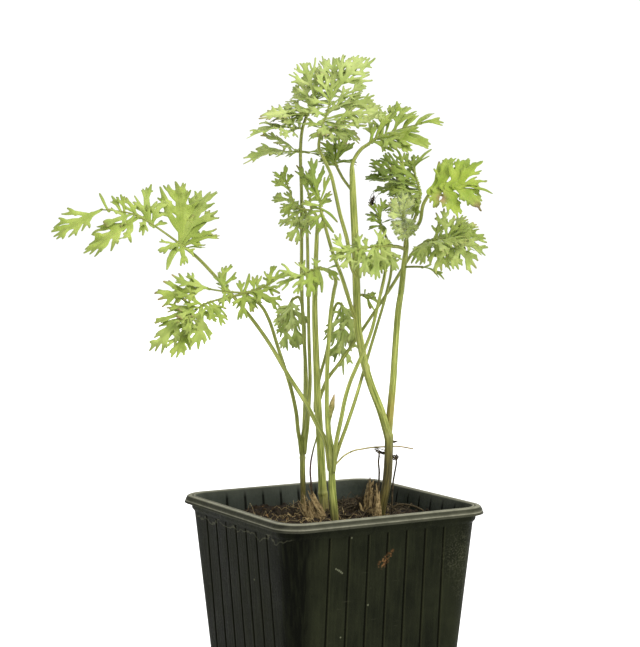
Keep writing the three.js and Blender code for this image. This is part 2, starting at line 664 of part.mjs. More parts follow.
// Half of a leaflet's outline, foot to tip: a narrow foot, then lobes that lean forward more and more.
function leafletSide(length, pairs, mirror, shift) {
  const outline = [[-FOOT_SUNK, mirror * FOOT_HALF]];
  const first = (FIRST_LOBE + shift) * length;
  const pitch = (LOBED_SHARE * length) / pairs;
  for (let i = 0; i < pairs; i += 1) {
    const share = pairs === 1 ? LONE_LOBE : i / (pairs - 1);
    const angle = THREE.MathUtils.degToRad(LOW_LOBE_ANGLE - LOBE_ANGLE_LOSS * share);
    const reach = length * (LOW_LOBE_REACH - LOBE_REACH_LOSS * share);
    const points = reach > TWO_POINTS ? 2 : 1;
    outline.push([first + i * pitch, mirror * RIB_HALF]);
    outline.push(...lobe(first + (i + LOBE_ROOT) * pitch, angle, reach, LOBE_HALF, points, mirror));
  }
  outline.push([first + (pairs - SIDE_END) * pitch, mirror * RIB_HALF]);
  return outline;
}

function leafletOutline(length, pairs) {
  if (pairs === 0) {
    const widest = PLAIN_WIDEST * length;
    const side = (mirror) => [[-FOOT_SUNK, mirror * FOOT_HALF], [widest, mirror * PLAIN_HALF]];
    return [...side(1), [length, 0], ...side(-1).reverse()];
  }
  const points = length > THREE_POINTS ? 3 : 1;
  const head = lobe(HEAD_ROOT * length, 0, (1 - HEAD_ROOT) * length, HEAD_HALF, points, 1);
  const near = leafletSide(length, pairs, 1, 0);
  const far = leafletSide(length, pairs, -1, FAR_SIDE_SHIFT);
  return [...near, ...head, ...far.reverse()];
}

// Leaf blades: leaflets and ribs are drawn flat in the blade's own plane, joined there, and the flat
// outline is then given its bends: every vertex moves along the plane's normal.
function planeOf(face) {
  const normal = place(...face).normalize();
  const right = place(1, 0, 0);
  right.addScaledVector(normal, -right.dot(normal)).normalize();
  return { normal, right, upward: new THREE.Vector3().crossVectors(normal, right) };
}

function flatten(plane, point) {
  return [point.dot(plane.right), point.dot(plane.upward), point.dot(plane.normal)];
}

function flatShape(outline) {
  return new wasm.CrossSection([outline], "Positive");
}

// A leaflet's outline laid from its foot to its tip in the plane.
function laidLeaflet(foot, tip, pairs) {
  const dx = tip[0] - foot[0];
  const dy = tip[1] - foot[1];
  const length = Math.hypot(dx, dy);
  const outline = leafletOutline(length, pairs).map(([x, y]) => [
    foot[0] + (dx * x - dy * y) / length,
    foot[1] + (dy * x + dx * y) / length,
  ]);
  return flatShape(outline.reverse());
}

// One span of a rib: a strip that runs on a little past both of its ends.
function laidRib(from, to) {
  const length = Math.hypot(to[0] - from[0], to[1] - from[1]);
  const ex = (to[0] - from[0]) / length;
  const ey = (to[1] - from[1]) / length;
  const corner = (end, along, out) => [end[0] + ex * along - ey * out, end[1] + ey * along + ex * out];
  return flatShape([
    corner(from, -RIB_OVERLAP, -STRIP_HALF),
    corner(to, RIB_OVERLAP, -STRIP_HALF),
    corner(to, RIB_OVERLAP, STRIP_HALF),
    corner(from, -RIB_OVERLAP, STRIP_HALF),
  ]);
}

// How far the blade lies off its plane at a place in it: a mean of the known places, the near ones most.
function offPlane(known, x, y) {
  let sum = 0;
  let weights = 0;
  for (const [kx, ky, offset] of known) {
    const weight = 1 / ((kx - x) ** 2 + (ky - y) ** 2 + BEND_REACH) ** BEND_FALL;
    sum += weight * offset;
    weights += weight;
  }
  return sum / weights;
}

// A flat solid's upper face, bent and given its thickness. Both faces use the same triangles.
function bentBlade(flat, plane, known) {
  const mesh = flat.getMesh();
  const onTop = (v) => mesh.vertProperties[3 * v + 2] > 0.5;
  const numberOf = new Map();
  const top = [];
  const bottom = [];
  const faces = [];
  for (let i = 0; i < mesh.triVerts.length; i += 3) {
    const corners = [mesh.triVerts[i], mesh.triVerts[i + 1], mesh.triVerts[i + 2]];
    if (!corners.every(onTop)) continue;
    faces.push(corners.map((v) => {
      if (!numberOf.has(v)) {
        numberOf.set(v, numberOf.size);
        const x = mesh.vertProperties[3 * v];
        const y = mesh.vertProperties[3 * v + 1];
        const offset = offPlane(known, x, y);
        const at = (rise) =>
          new THREE.Vector3()
            .addScaledVector(plane.right, x)
            .addScaledVector(plane.upward, y)
            .addScaledVector(plane.normal, offset + rise);
        top.push(at(BLADE / 2));
        bottom.push(at(-BLADE / 2));
      }
      return numberOf.get(v);
    }));
  }
  const count = top.length;
  const edges = new Set(faces.flatMap(([a, b, c]) => [a + "," + b, b + "," + c, c + "," + a]));
  const index = faces.flatMap(([a, b, c]) => [a, b, c, a + count, c + count, b + count]);
  for (const edge of edges) {
    const [a, b] = edge.split(",").map(Number);
    if (!edges.has(b + "," + a)) index.push(a, a + count, b + count, a, b + count, b);
  }
  const geometry = new THREE.BufferGeometry();
  geometry.setFromPoints([...top, ...bottom]);
  geometry.setIndex(index);
  return solidOf(geometry);
}

// The point of a stalk that lies a given length before its end.
function pointBeforeEnd(points, back) {
  let left = back;
  for (let i = points.length - 1; i > 0; i -= 1) {
    const span = points[i].distanceTo(points[i - 1]);
    if (left <= span) return points[i].clone().lerp(points[i - 1], left / span);
    left -= span;
  }
  return points[0].clone();
}

// One blade: the ribs and leaflets of the branches that share a face.
function bladeSolid(branches, face) {
  const plane = planeOf(face);
  const flats = [];
  const known = [];
  for (const { rib, leaflets } of branches) {
    const line = rib.map((p) => place(...p));
    const laid = line.map((point) => flatten(plane, point));
    known.push(...laid);
    for (let i = 0; i + 1 < laid.length; i += 1) flats.push(laidRib(laid[i], laid[i + 1]));
    for (const [back, across, depth, up, pairs] of leaflets) {
      const foot = flatten(plane, pointBeforeEnd(line, back));
      const tip = flatten(plane, place(across, depth, up));
      const length = Math.hypot(tip[0] - foot[0], tip[1] - foot[1]);
      const middle = [0, 1, 2].map((i) => (foot[i] + tip[i]) / 2);
      middle[2] += (LEAST_ARCH + ARCH_SPREAD * draw()) * length;
      known.push(foot, middle, tip);
      flats.push(laidLeaflet(foot, tip, pairs));
    }
  }
  const whole = joined(flats).offset(CRACK / 2, "Miter").offset(-CRACK / 2, "Miter").simplify(OUTLINE_SLACK);
  return bentBlade(whole.extrude(1), plane, known);
}

function leafSolid(leaf) {
  const { petiole, radius, blades } = leaf;
  const solids = [tube(petiole, evenRadii(petiole.length, radius[0], radius[1]), TUBE_SIDES, 1)];
  for (const { face, branches } of blades) solids.push(bladeSolid(branches, face));
  return joined(solids);
}

// A route carried on a little past both of its ends; each point may hold a radius after its place.
function carriedOn(points, by) {
  if (by === 0) return points;
  const beyond = (end, before) => {
    const step = [0, 1, 2].map((i) => end[i] - before[i]);
    const share = by / Math.hypot(...step);
    return [...step.map((d, i) => end[i] + d * share), ...end.slice(3)];
  };
  const last = points.length - 1;
  return [beyond(points[0], points[1]), ...points, beyond(points[last], points[last - 1])];
}

// What a tube's radius needs for its flats to lie a given distance further out.
function overFlats(distance, sides) {
  return distance / Math.cos(Math.PI / sides);
}

function stemSolid(branches, spare) {
  return joined(
    branches.map((branch) => {
      const points = carriedOn(branch, spare);
      return tube(points, points.map((p) => p[3] + overFlats(spare, STEM_SIDES)), STEM_SIDES, 1);
    }),
  );
}

// Pot: one profile of half-widths and heights, carried round a square with round corners.
const SKIRT_Z = POT_HEIGHT - RIM_SKIRT;
const POT_PROFILE = [
  [wallHalfAt(0) - FOOT_CHAMFER, 0],
  [wallHalfAt(FOOT_CHAMFER), FOOT_CHAMFER],
  [WALL_TOP_HALF, WALL_TOP_Z],
  [COLLAR_HALF - BEAD / 2, WALL_TOP_Z + FOOT_CHAMFER],
  [COLLAR_HALF, SKIRT_Z - BEAD / 4],
  [RIM_HALF - 2 * BEAD, SKIRT_Z],
  [RIM_HALF, SKIRT_Z],
  [RIM_HALF - BEAD / 4, SKIRT_Z + EDGE_EASE],
  [RIM_TOP_HALF + BEAD / 4, POT_HEIGHT - EDGE_EASE],
  [RIM_TOP_HALF - BEAD, POT_HEIGHT],
  [RIM_INNER_HALF + 3 * BEAD, POT_HEIGHT],
  [RIM_INNER_HALF + 2 * BEAD, POT_HEIGHT - BEAD],
  [RIM_INNER_HALF + BEAD, POT_HEIGHT],
  [RIM_INNER_HALF, POT_HEIGHT - BEAD],
  [WALL_TOP_HALF - WALL, WALL_TOP_Z],
  [wallHalfAt(FLOOR) - WALL, FLOOR],
];

// The corner points of a square of a given half-width, each corner an arc, as unit steps round it.
function roundedSquare(half, radius) {
  const points = [];
  for (let corner = 0; corner < 4; corner += 1) {
    const middle = (corner + 0.5) * (Math.PI / 2);
    const centreX = Math.sign(Math.cos(middle)) * (half - radius);
    const centreY = Math.sign(Math.sin(middle)) * (half - radius);
    for (let i = 0; i <= CORNER_STEPS; i += 1) {
      const turn = corner * (Math.PI / 2) + (i / CORNER_STEPS) * (Math.PI / 2);
      points.push([centreX + radius * Math.cos(turn), centreY + radius * Math.sin(turn)]);
    }
  }
  return points;
}

// A closed body from rings of points that run from its bottom cap to its top cap, counter-clockwise.
function loft(rings) {
  const count = rings[0].length;
  const positions = rings.flat(2);
  const index = [];
  for (let r = 0; r + 1 < rings.length; r += 1) {
    for (let i = 0; i < count; i += 1) {
      const a = r * count + i;
      const b = r * count + ((i + 1) % count);
      index.push(a, b, b + count, a, b + count, a + count);
    }
  }
  const top = (rings.length - 1) * count;
  for (let i = 1; i + 1 < count; i += 1) {
    index.push(0, i + 1, i);
    index.push(top, top + i, top + i + 1);
  }
  const geometry = new THREE.BufferGeometry();
  geometry.setAttribute("position", new THREE.Float32BufferAttribute(positions, 3));
  geometry.setIndex(index);
  return solidOf(geometry);
}

function wallHalfAt(z) {
  return WALL_TOP_HALF - WALL_SLOPE * (WALL_TOP_Z - z);
}

// A thin wedge that cuts one upright groove into one face of the pot.
function grooveCutter(face, number) {
  const share = number - (GROOVES_PER_FACE - 1) / 2;
  const ring = (z) => {
    const half = wallHalfAt(z);
    const x = share * GROOVE_SPACING;
    return [
      [x - GROOVE_HALF_WIDTH, -half - GROOVE_DEPTH, z],
      [x + GROOVE_HALF_WIDTH, -half - GROOVE_DEPTH, z],
      [x + GROOVE_HALF_WIDTH, -half, z],
      [x, -half + GROOVE_DEPTH, z],
      [x - GROOVE_HALF_WIDTH, -half, z],
    ];
  };
  const turn = (face * Math.PI) / 2;
  const turned = (points) =>
    points.map(([x, y, z]) => [
      x * Math.cos(turn) - y * Math.sin(turn),
      x * Math.sin(turn) + y * Math.cos(turn),
      z,
    ]);
  return loft([turned(ring(GROOVE_FOOT_Z)), turned(ring(GROOVE_HEAD_Z))]);
}

function drainCutter(x, y) {
  const hole = new THREE.CylinderGeometry(DRAIN_RADIUS, DRAIN_RADIUS, 3 * FLOOR, DRAIN_SIDES);
  hole.rotateX(Math.PI / 2);
  hole.translate(x, y, FLOOR / 2);
  return solidOf(hole);
}

function potSolid() {
  const cornerAt = (half) => (half > COLLAR_HALF ? RIM_CORNER_RADIUS : CORNER_RADIUS);
  const rings = POT_PROFILE.map(([half, z]) =>
    roundedSquare(half, cornerAt(half)).map(([x, y]) => [x, y, z]),
  );
  let pot = loft(rings);
  for (let face = 0; face < 4; face += 1) {
    for (let i = 0; i < GROOVES_PER_FACE; i += 1) pot = pot.subtract(grooveCutter(face, i));
  }
  for (const x of [-DRAIN_OFFSET, DRAIN_OFFSET]) {
    for (const y of [-DRAIN_OFFSET, DRAIN_OFFSET]) pot = pot.subtract(drainCutter(x, y));
  }
  return pot;
}

// Soil: rings of a rounded square whose height is a heap with clods.
function soilHeight(x, y) {
  const heap = SOIL_HEAP * Math.exp(-(x * x + y * y) / (2 * SOIL_HEAP_WIDTH * SOIL_HEAP_WIDTH));
  const clods = CLOD_HEIGHT * Math.sin(CLOD_STEPS[0] * x + 1) * Math.cos(CLOD_STEPS[1] * y);
  const ripples = RIPPLE_HEIGHT * Math.sin(RIPPLE_STEPS[1] * y - RIPPLE_STEPS[0] * x);
  return SOIL_LEVEL + heap + clods + ripples;
}

function soilSolid(stemHoles) {
  const inset = WALL + CLEARANCE + SOIL_INSET;
  const bottomHalf = wallHalfAt(FLOOR) - inset;
  const topHalf = wallHalfAt(SOIL_LEVEL) - inset - SOIL_EDGE_ROUND;
  const edge = CORNER_RADIUS;
  const rings = [
    roundedSquare(bottomHalf, edge).map(([x, y]) => [x, y, FLOOR + CLEARANCE]),
    roundedSquare(topHalf, edge).map(([x, y]) => [x, y, SOIL_LEVEL - SOIL_EDGE_DROP]),
  ];
  for (let i = 0; i < SOIL_RINGS; i += 1) {
    const share = 1 - i / SOIL_RINGS;
    const outline = roundedSquare(topHalf * share, edge * share);
    rings.push(outline.map(([x, y]) => [x, y, soilHeight(x, y)]));
  }
  let soil = loft(rings);
  for (const hole of stemHoles) soil = soil.subtract(hole);
  return largestBody(soil);
}

// Dry blades that stand round a stem's foot, joined low down by a thin straw core.
function sheathSolid(blades) {
  const branches = [];
  const feet = [];
  for (const [across, back, ...tip] of blades) {
    const ground = place(across, back, 0);
    const foot = [across, back, soilHeight(ground.x, ground.y) + SHEATH_LIFT];
    feet.push(foot);
    branches.push({ rib: [foot, [across, back, foot[2] + SHEATH_ROOT]], leaflets: [[0, ...tip, 0]] });
  }
  feet.sort((a, b) => a[0] - b[0]);
  const core = tube(feet, evenRadii(feet.length, SHEATH_CORE, SHEATH_CORE), TUBE_SIDES, 1);
  return joined([bladeSolid(branches, SHEATH_FACE), core]);
}

function dryStalk(dry, spare) {
  const route = carriedOn(dry.route, spare);
  const more = overFlats(spare, TUBE_SIDES);
  return tube(route, evenRadii(route.length, dry.radius[0] + more, dry.radius[1] + more), TUBE_SIDES, 1);
}

function withoutAny(solid, cutters) {
  return cutters.reduce((rest, cutter) => rest.subtract(cutter), solid);
}

function leafColor(name) {
  if (name.includes("dark")) return DARK_GREEN;
  return name.includes("shoot") ? PALE_GREEN : GREEN;
}

// The plant's meshes, and the holes they need in the soil.
function plantMeshes() {
  const meshes = [];
  const spareStems = [];
  for (const [name, branches] of Object.entries(STEMS)) {
    meshes.push(named(name, stemSolid(branches, 0), STEM_GREEN, STEM_ROUGHNESS));
    spareStems.push(stemSolid(branches, CLEARANCE));
  }
  const holes = [...spareStems];
  for (const [name, leaf] of Object.entries(LEAVES)) {
    const solid = withoutAny(leafSolid(leaf), spareStems);
    meshes.push(named(name, largestBody(solid), leafColor(name), LEAF_ROUGHNESS));
  }
  for (const [name, dry] of Object.entries(DRY_STALKS)) {
    const solid = withoutAny(dryStalk(dry, 0), spareStems);
    meshes.push(named(name, largestBody(solid), dry.color, DRY_ROUGHNESS));
    holes.push(dryStalk(dry, CLEARANCE));
  }
  for (const [name, blades] of Object.entries(SHEATHS)) {
    meshes.push(named(name, largestBody(withoutAny(sheathSolid(blades), holes)), STRAW, DRY_ROUGHNESS));
  }
  return { meshes, holes };
}

const part = new THREE.Group();
const { meshes: plant, holes: stemHoles } = plantMeshes();
part.add(named("pot", potSolid(), POT_COLOR, POT_ROUGHNESS));
part.add(named("soil", soilSolid(stemHoles), SOIL_COLOR, SOIL_ROUGHNESS));
part.add(...plant);

export default part;
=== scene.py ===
# %% [markdown]
# # A potted mugwort
# A young mugwort stands in a square black nursery pot. Four stems come up through peat, and each
# carries leaves that are cut into leaflets and lobes, on long thin petioles. This lesson dresses the
# fixed model of that plant: the frame gives where every piece is, and each surface is worked out with
# numpy as a function of two parameters, then put into a mesh in one go.

import math

import bpy
import numpy as np
from mathutils import Euler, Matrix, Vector
from mathutils.geometry import delaunay_2d_cdt


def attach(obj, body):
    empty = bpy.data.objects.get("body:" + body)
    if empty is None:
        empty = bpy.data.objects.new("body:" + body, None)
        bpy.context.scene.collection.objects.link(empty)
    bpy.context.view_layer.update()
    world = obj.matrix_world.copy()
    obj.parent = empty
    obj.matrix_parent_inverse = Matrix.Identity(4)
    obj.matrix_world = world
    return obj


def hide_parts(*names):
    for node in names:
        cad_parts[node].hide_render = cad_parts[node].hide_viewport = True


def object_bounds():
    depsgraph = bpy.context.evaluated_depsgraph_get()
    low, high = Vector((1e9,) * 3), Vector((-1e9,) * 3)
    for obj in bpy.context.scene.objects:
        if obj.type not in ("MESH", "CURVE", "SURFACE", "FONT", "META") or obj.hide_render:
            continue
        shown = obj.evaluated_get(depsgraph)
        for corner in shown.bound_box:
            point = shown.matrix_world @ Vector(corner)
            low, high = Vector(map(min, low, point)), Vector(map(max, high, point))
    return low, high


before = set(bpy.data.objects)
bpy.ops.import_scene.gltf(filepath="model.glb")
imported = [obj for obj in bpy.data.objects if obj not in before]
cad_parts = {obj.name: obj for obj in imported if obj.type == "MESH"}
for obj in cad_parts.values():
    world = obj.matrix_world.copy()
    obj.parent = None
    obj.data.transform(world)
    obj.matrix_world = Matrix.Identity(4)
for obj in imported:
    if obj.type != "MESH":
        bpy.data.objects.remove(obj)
cad_box = [list(corner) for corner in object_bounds()]
print("the model's nodes:", len(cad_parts))
print("its box in metres:", cad_box)

# %% [markdown]
# The camera stands where the photographer stood. Its place follows from the pot: the rim is a square
# of known size, so the four corners of its image give the distance and the three angles. A long lens
# from about 65 cm away fits them best, which is why the pot shows so little perspective.

# %% The camera
PHOTO_SIZE = (640, 647)
SENSOR = 36.0
FOCAL_PIXELS = 1665.0
CAMERA_PLACE = (-0.32271, -0.55258, 0.19806)
CAMERA_PITCH = 3.12
CAMERA_TURN = -29.9

lens = bpy.data.cameras.new("photo_lens")
lens.sensor_width = SENSOR
lens.lens = FOCAL_PIXELS * SENSOR / max(PHOTO_SIZE)
camera = bpy.data.objects.new("photo_camera", lens)
camera.location = CAMERA_PLACE
camera.rotation_euler = Euler((math.radians(90 - CAMERA_PITCH), 0, math.radians(CAMERA_TURN)))
bpy.context.scene.collection.objects.link(camera)
bpy.context.scene.camera = camera
print("lens in mm:", round(lens.lens, 1))

# %% [markdown]
# A product picture has a bright, even surround. A white sky does most of it, and one broad soft lamp
# from above the right shoulder gives leaves and stems a lit and a shaded side. It is a sun with a wide
# disc, so it lights the floor evenly too. The colours are shown as they are, with no film look.

# %% The floor and the light
SKY_STRENGTH = 1.08
KEY_STRENGTH = 3.0
KEY_SPREAD = 38.0
KEY_FROM = (0.35, -0.75, 0.9)
FLOOR_HALF = 4.0


def key_turn(way):
    """The turn that points a lamp, which shines down its own -z, from the direction way to the object."""
    return Euler((math.atan2(math.hypot(way[0], way[1]), way[2]), 0, math.atan2(way[0], -way[1])))


world = bpy.data.worlds.new("white_surround")
world.use_nodes = True
sky = world.node_tree.nodes["Background"]
sky.inputs["Color"].default_value = (1, 1, 1, 1)
sky.inputs["Strength"].default_value = SKY_STRENGTH
bpy.context.scene.world = world
bpy.context.scene.view_settings.view_transform = "Standard"

key_data = bpy.data.lights.new("soft_key", "SUN")
key_data.energy = KEY_STRENGTH
key_data.angle = math.radians(KEY_SPREAD)
key = bpy.data.objects.new("soft_key", key_data)
key.rotation_euler = key_turn(KEY_FROM)
bpy.context.scene.collection.objects.link(key)

floor_mesh = bpy.data.meshes.new("floor")
floor_corners = [(FLOOR_HALF * x, FLOOR_HALF * y, 0) for x, y in ((-1, -1), (1, -1), (1, 1), (-1, 1))]
floor_mesh.from_pydata(floor_corners, [], [(0, 1, 2, 3)])
floor = bpy.data.objects.new("floor", floor_mesh)
bpy.context.scene.collection.objects.link(floor)

# %% [markdown]
# Materials are graphs of nodes. A few helpers keep the cells short: one adds a node and fills or links
# its sockets, the next ones mix colours, count with numbers and read what a mesh carries. Another turns
# a colour as seen on a screen into the light that Blender counts with.

# %% Helpers for materials
MIX_SHARE, MIX_FIRST, MIX_SECOND, MIX_RESULT = 0, 6, 7, 2


def ink(red, green, blue):
    """Screen colour 0 to 255 to light: below 0.04 it is c / 12.92, and above ((c + 0.055) / 1.055) to 2.4."""
    c = np.array([red, green, blue]) / 255.0
    light = np.where(c <= 0.04045, c / 12.92, ((c + 0.055) / 1.055) ** 2.4)
    return (*light.tolist(), 1.0)


def add(tree, kind, sockets=(), **settings):
    """Adds a node; sockets is a list of (name or number, value or another node's socket)."""
    made = tree.nodes.new("ShaderNode" + kind)
    for key, value in settings.items():
        setattr(made, key, value)
    for key, value in sockets:
        if isinstance(value, bpy.types.NodeSocket):
            tree.links.new(value, made.inputs[key])
        else:
            made.inputs[key].default_value = value
    return made


def mixed(tree, share, first, second):
    """A colour between first and second: first (1 - share) + second share."""
    sockets = [(MIX_SHARE, share), (MIX_FIRST, first), (MIX_SECOND, second)]
    return add(tree, "Mix", sockets, data_type="RGBA").outputs[MIX_RESULT]


def counted(tree, rule, *values):
    """One sum on numbers or sockets, such as ADD, MAXIMUM or ABSOLUTE."""
    return add(tree, "Math", list(enumerate(values)), operation=rule).outputs[0]


def scaled(tree, value, by):
    """value times by, each a number or a socket."""
    return counted(tree, "MULTIPLY", value, by)


def spread(tree, value, low, high, to_low=0.0, to_high=1.0):
    """value between low and high, stretched to the range to_low to to_high and held there beyond."""
    return add(tree, "MapRange", list(enumerate((value, low, high, to_low, to_high)))).outputs[0]


def mark(tree, name):
    """A number that the mesh carries at its points under this name."""
    return add(tree, "Attribute", attribute_name=name).outputs["Fac"]


def grain(tree, where, scale, detail=3.0, rough=0.55):
    """Soft noise from 0 to 1 at the place where, scale bumps to the metre."""
    sockets = [("Vector", where), ("Scale", scale), ("Detail", detail), ("Roughness", rough)]
    return add(tree, "TexNoise", sockets).outputs[0]


def finish_of(name, roughness, specular):
    """A material with its graph, its shader and the place on the object."""
    made = bpy.data.materials.new(name)
    made.use_nodes = True
    shader = made.node_tree.nodes["Principled BSDF"]
    shader.inputs["Roughness"].default_value = roughness
    shader.inputs["Specular IOR Level"].default_value = specular
    where = add(made.node_tree, "TexCoord").outputs["Object"]
    return made, made.node_tree, shader, where


def coloured(tree, shader, skin):
    """Gives the shader its colour, and prints how large the graph has become."""
    tree.links.new(skin, shader.inputs["Base Color"])
    print("nodes in this finish:", len(tree.nodes))


def bumped(tree, shader, height, depth):
    """Gives the shader a fine relief: height from 0 to 1 stands for depth in metres."""
    bump = add(tree, "Bump", [("Height", height), ("Distance", depth), ("Strength", 1.0)])
    tree.links.new(bump.outputs[0], shader.inputs["Normal"])


# %% [markdown]
# Meshes are filled from whole arrays. A point can carry numbers, called marks here, that a material
# reads later: how near a vein it is, whether it is on the upper side, how far up the stem it lies.

# %% Helpers for meshes
MM = 0.001
BOX_LOW, BOX_HIGH = np.array(cad_box) / MM


def piece(name, points, face_sets, finish, nodes, slot, marks=None, flat_sets=()):
    """Makes one piece of the plant from points in mm and faces in sets of equal corner count."""
    mesh = bpy.data.meshes.new(name)
    points = np.clip(points, BOX_LOW, BOX_HIGH)
    corners = np.concatenate([f.ravel() for f in face_sets])
    sizes = np.concatenate([np.full(len(f), f.shape[1]) for f in face_sets])
    smooth = np.concatenate([np.full(len(f), i not in flat_sets) for i, f in enumerate(face_sets)])
    mesh.vertices.add(len(points))
    mesh.vertices.foreach_set("co", (points * MM).astype(np.float32).ravel())
    mesh.loops.add(len(corners))
    mesh.loops.foreach_set("vertex_index", corners.astype(np.int32))
    mesh.polygons.add(len(sizes))
    mesh.polygons.foreach_set("loop_start", (np.cumsum(sizes) - sizes).astype(np.int32))
    mesh.polygons.foreach_set("use_smooth", smooth)
    for key, values in (marks or {}).items():
        kind, field = ("FLOAT", "value") if np.ndim(values) == 1 else ("FLOAT_VECTOR", "vector")
        attribute = mesh.attributes.new(key, kind, "POINT")
        attribute.data.foreach_set(field, np.asarray(values, np.float32).ravel())
    mesh.update(calc_edges=True)
    mesh.validate()
    mesh.materials.append(finish)
    made = bpy.data.objects.new(name, mesh)
    bpy.context.scene.collection.objects.link(made)
    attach(made, "root")
    if nodes:
        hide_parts(*nodes)
    print(f"{name}: {len(sizes)} faces")
    return made


def gathered(parts):
    """Several bodies as one: points are stacked, and each body's face numbers move up by those before it."""
    points, face_sets, marks, base = [], [], [], 0
    for part_points, part_faces, part_marks in parts:
        points.append(part_points)
        face_sets += [f + base for f in part_faces]
        marks.append(part_marks)
        base += len(part_points)
    return np.vstack(points), face_sets, {k: np.concatenate([m[k] for m in marks]) for k in marks[0]}


def ring_faces(rows, across, close_rows=False):
    """Quads of a grid of rows x across points that closes on itself across, and along the rows if asked."""
    r = np.arange(rows if close_rows else rows - 1)[:, None]
    c = np.arange(across)[None, :]
    following = (c + 1) % across
    up = (r + 1) % rows
    corners = [r * across + c, r * across + following, up * across + following, up * across + c]
    return np.stack(corners, -1).reshape(-1, 4)


# %% [markdown]
# Stems, petioles and roots are all sweeps: a smooth curve through a few points, a frame carried along
# it, and an outline whose size changes on the way. A curve object with a bevel could do it too, but it
# can't give the outline ridges, and it can't tell the material how far along the stem a point lies.

# %% Helpers for stalks
END_REACH = 0.6


def smooth_route(points, steps):
    """A smooth curve through the points, steps samples a span: a cubic whose slope at each point comes
    from its neighbours, with the square root of the spans' lengths as the clock."""
    p = np.asarray(points, float)
    p = np.vstack([2 * p[0] - p[1], p, 2 * p[-1] - p[-2]])
    clock = np.sqrt(np.linalg.norm(np.diff(p[:, :3], axis=0), axis=1))[:, None]
    d0, d1, d2 = clock[:-2], clock[1:-1], clock[2:]
    a, b, c, d = p[:-3], p[1:-2], p[2:-1], p[3:]
    first = d1 * ((b - a) / d0 - (c - a) / (d0 + d1) + (c - b) / d1)
    last = d1 * ((c - b) / d1 - (d - b) / (d1 + d2) + (d - c) / d2)
    t = (np.arange(steps) / steps)[None, :, None]
    b, c, first, last = b[:, None], c[:, None], first[:, None], last[:, None]
    curve = (2 * t**3 - 3 * t**2 + 1) * b + (t**3 - 2 * t**2 + t) * first
    curve = curve + (3 * t**2 - 2 * t**3) * c + (t**3 - t**2) * last
    return np.vstack([curve.reshape(-1, p.shape[1]), p[-2]])


def frames_along(route):
    """For each point of a route its direction and two unit vectors across it. The first is across the
    direction that the route bends in least, so the frame doesn't twist."""
    ahead = np.gradient(route, axis=0)
    ahead /= np.linalg.norm(ahead, axis=1)[:, None]
    steady = np.linalg.svd(ahead)[2][-1]
    side = np.cross(steady, ahead)
    side /= np.linalg.norm(side, axis=1)[:, None]
    return ahead, side, np.cross(ahead, side)


def stalk(route, radius, sides, relief):
    """point(t, a) = route(t) + r(t) relief(t, a) (cos a side + sin a other), closed at both ends by a
    point a little further on. Its marks are the place round and along it, and its share of the way."""
    ahead, side, other = frames_along(route)
    rows = len(route)
    turn = np.arange(sides) / sides * 2 * np.pi
    reach = (radius[:, None] * relief(np.linspace(0, 1, rows)[:, None], turn[None, :]))[..., None]
    wheel = np.cos(turn)[None, :, None] * side[:, None] + np.sin(turn)[None, :, None] * other[:, None]
    skin = (route[:, None] + reach * wheel).reshape(-1, 3)
    length = np.concatenate([[0], np.cumsum(np.linalg.norm(np.diff(route, axis=0), axis=1))])
    first = route[0] - END_REACH * radius[0] * ahead[0]
    last = route[-1] + END_REACH * radius[-1] * ahead[-1]
    here = np.arange(sides)
    after = (here + 1) % sides
    top = len(skin) - sides
    fans = np.vstack([
        np.stack([np.full(sides, len(skin)), after, here], -1),
        np.stack([np.full(sides, len(skin) + 1), top + here, top + after], -1),
    ])
    wrap = np.empty((rows, sides, 3))
    wrap[..., 0], wrap[..., 1], wrap[..., 2] = np.cos(turn), np.sin(turn), length[:, None]
    wrap = np.vstack([wrap.reshape(-1, 3), [0, 0, 0], [0, 0, length[-1]]])
    share = np.concatenate([np.repeat(np.linspace(0, 1, rows), sides), [0, 1]])
    return np.vstack([skin, first, last]), [ring_faces(rows, sides), fans], {"wrap": wrap, "share": share}


# %% [markdown]
# The plant is written in its own frame, as it is seen: across the picture, back into it, and up, all in
# mm. Its frame is turned about the upright axis against the pot's, by as much as the camera. In a stem
# each point is across, back, up and the stem's radius there, and a ring is three close points.

# %% The stems' points
PLANT_TURN = math.radians(CAMERA_TURN)
STEM_FOOT_Z = 66


def place(points):
    """Plant to pot: x = across cos t - back sin t, y = across sin t + back cos t, and up stays."""
    p = np.asarray(points, float)
    c, s = math.cos(PLANT_TURN), math.sin(PLANT_TURN)
    turned = [c * p[..., 0] - s * p[..., 1], s * p[..., 0] + c * p[..., 1], p[..., 2]]
    return np.stack(turned, -1)


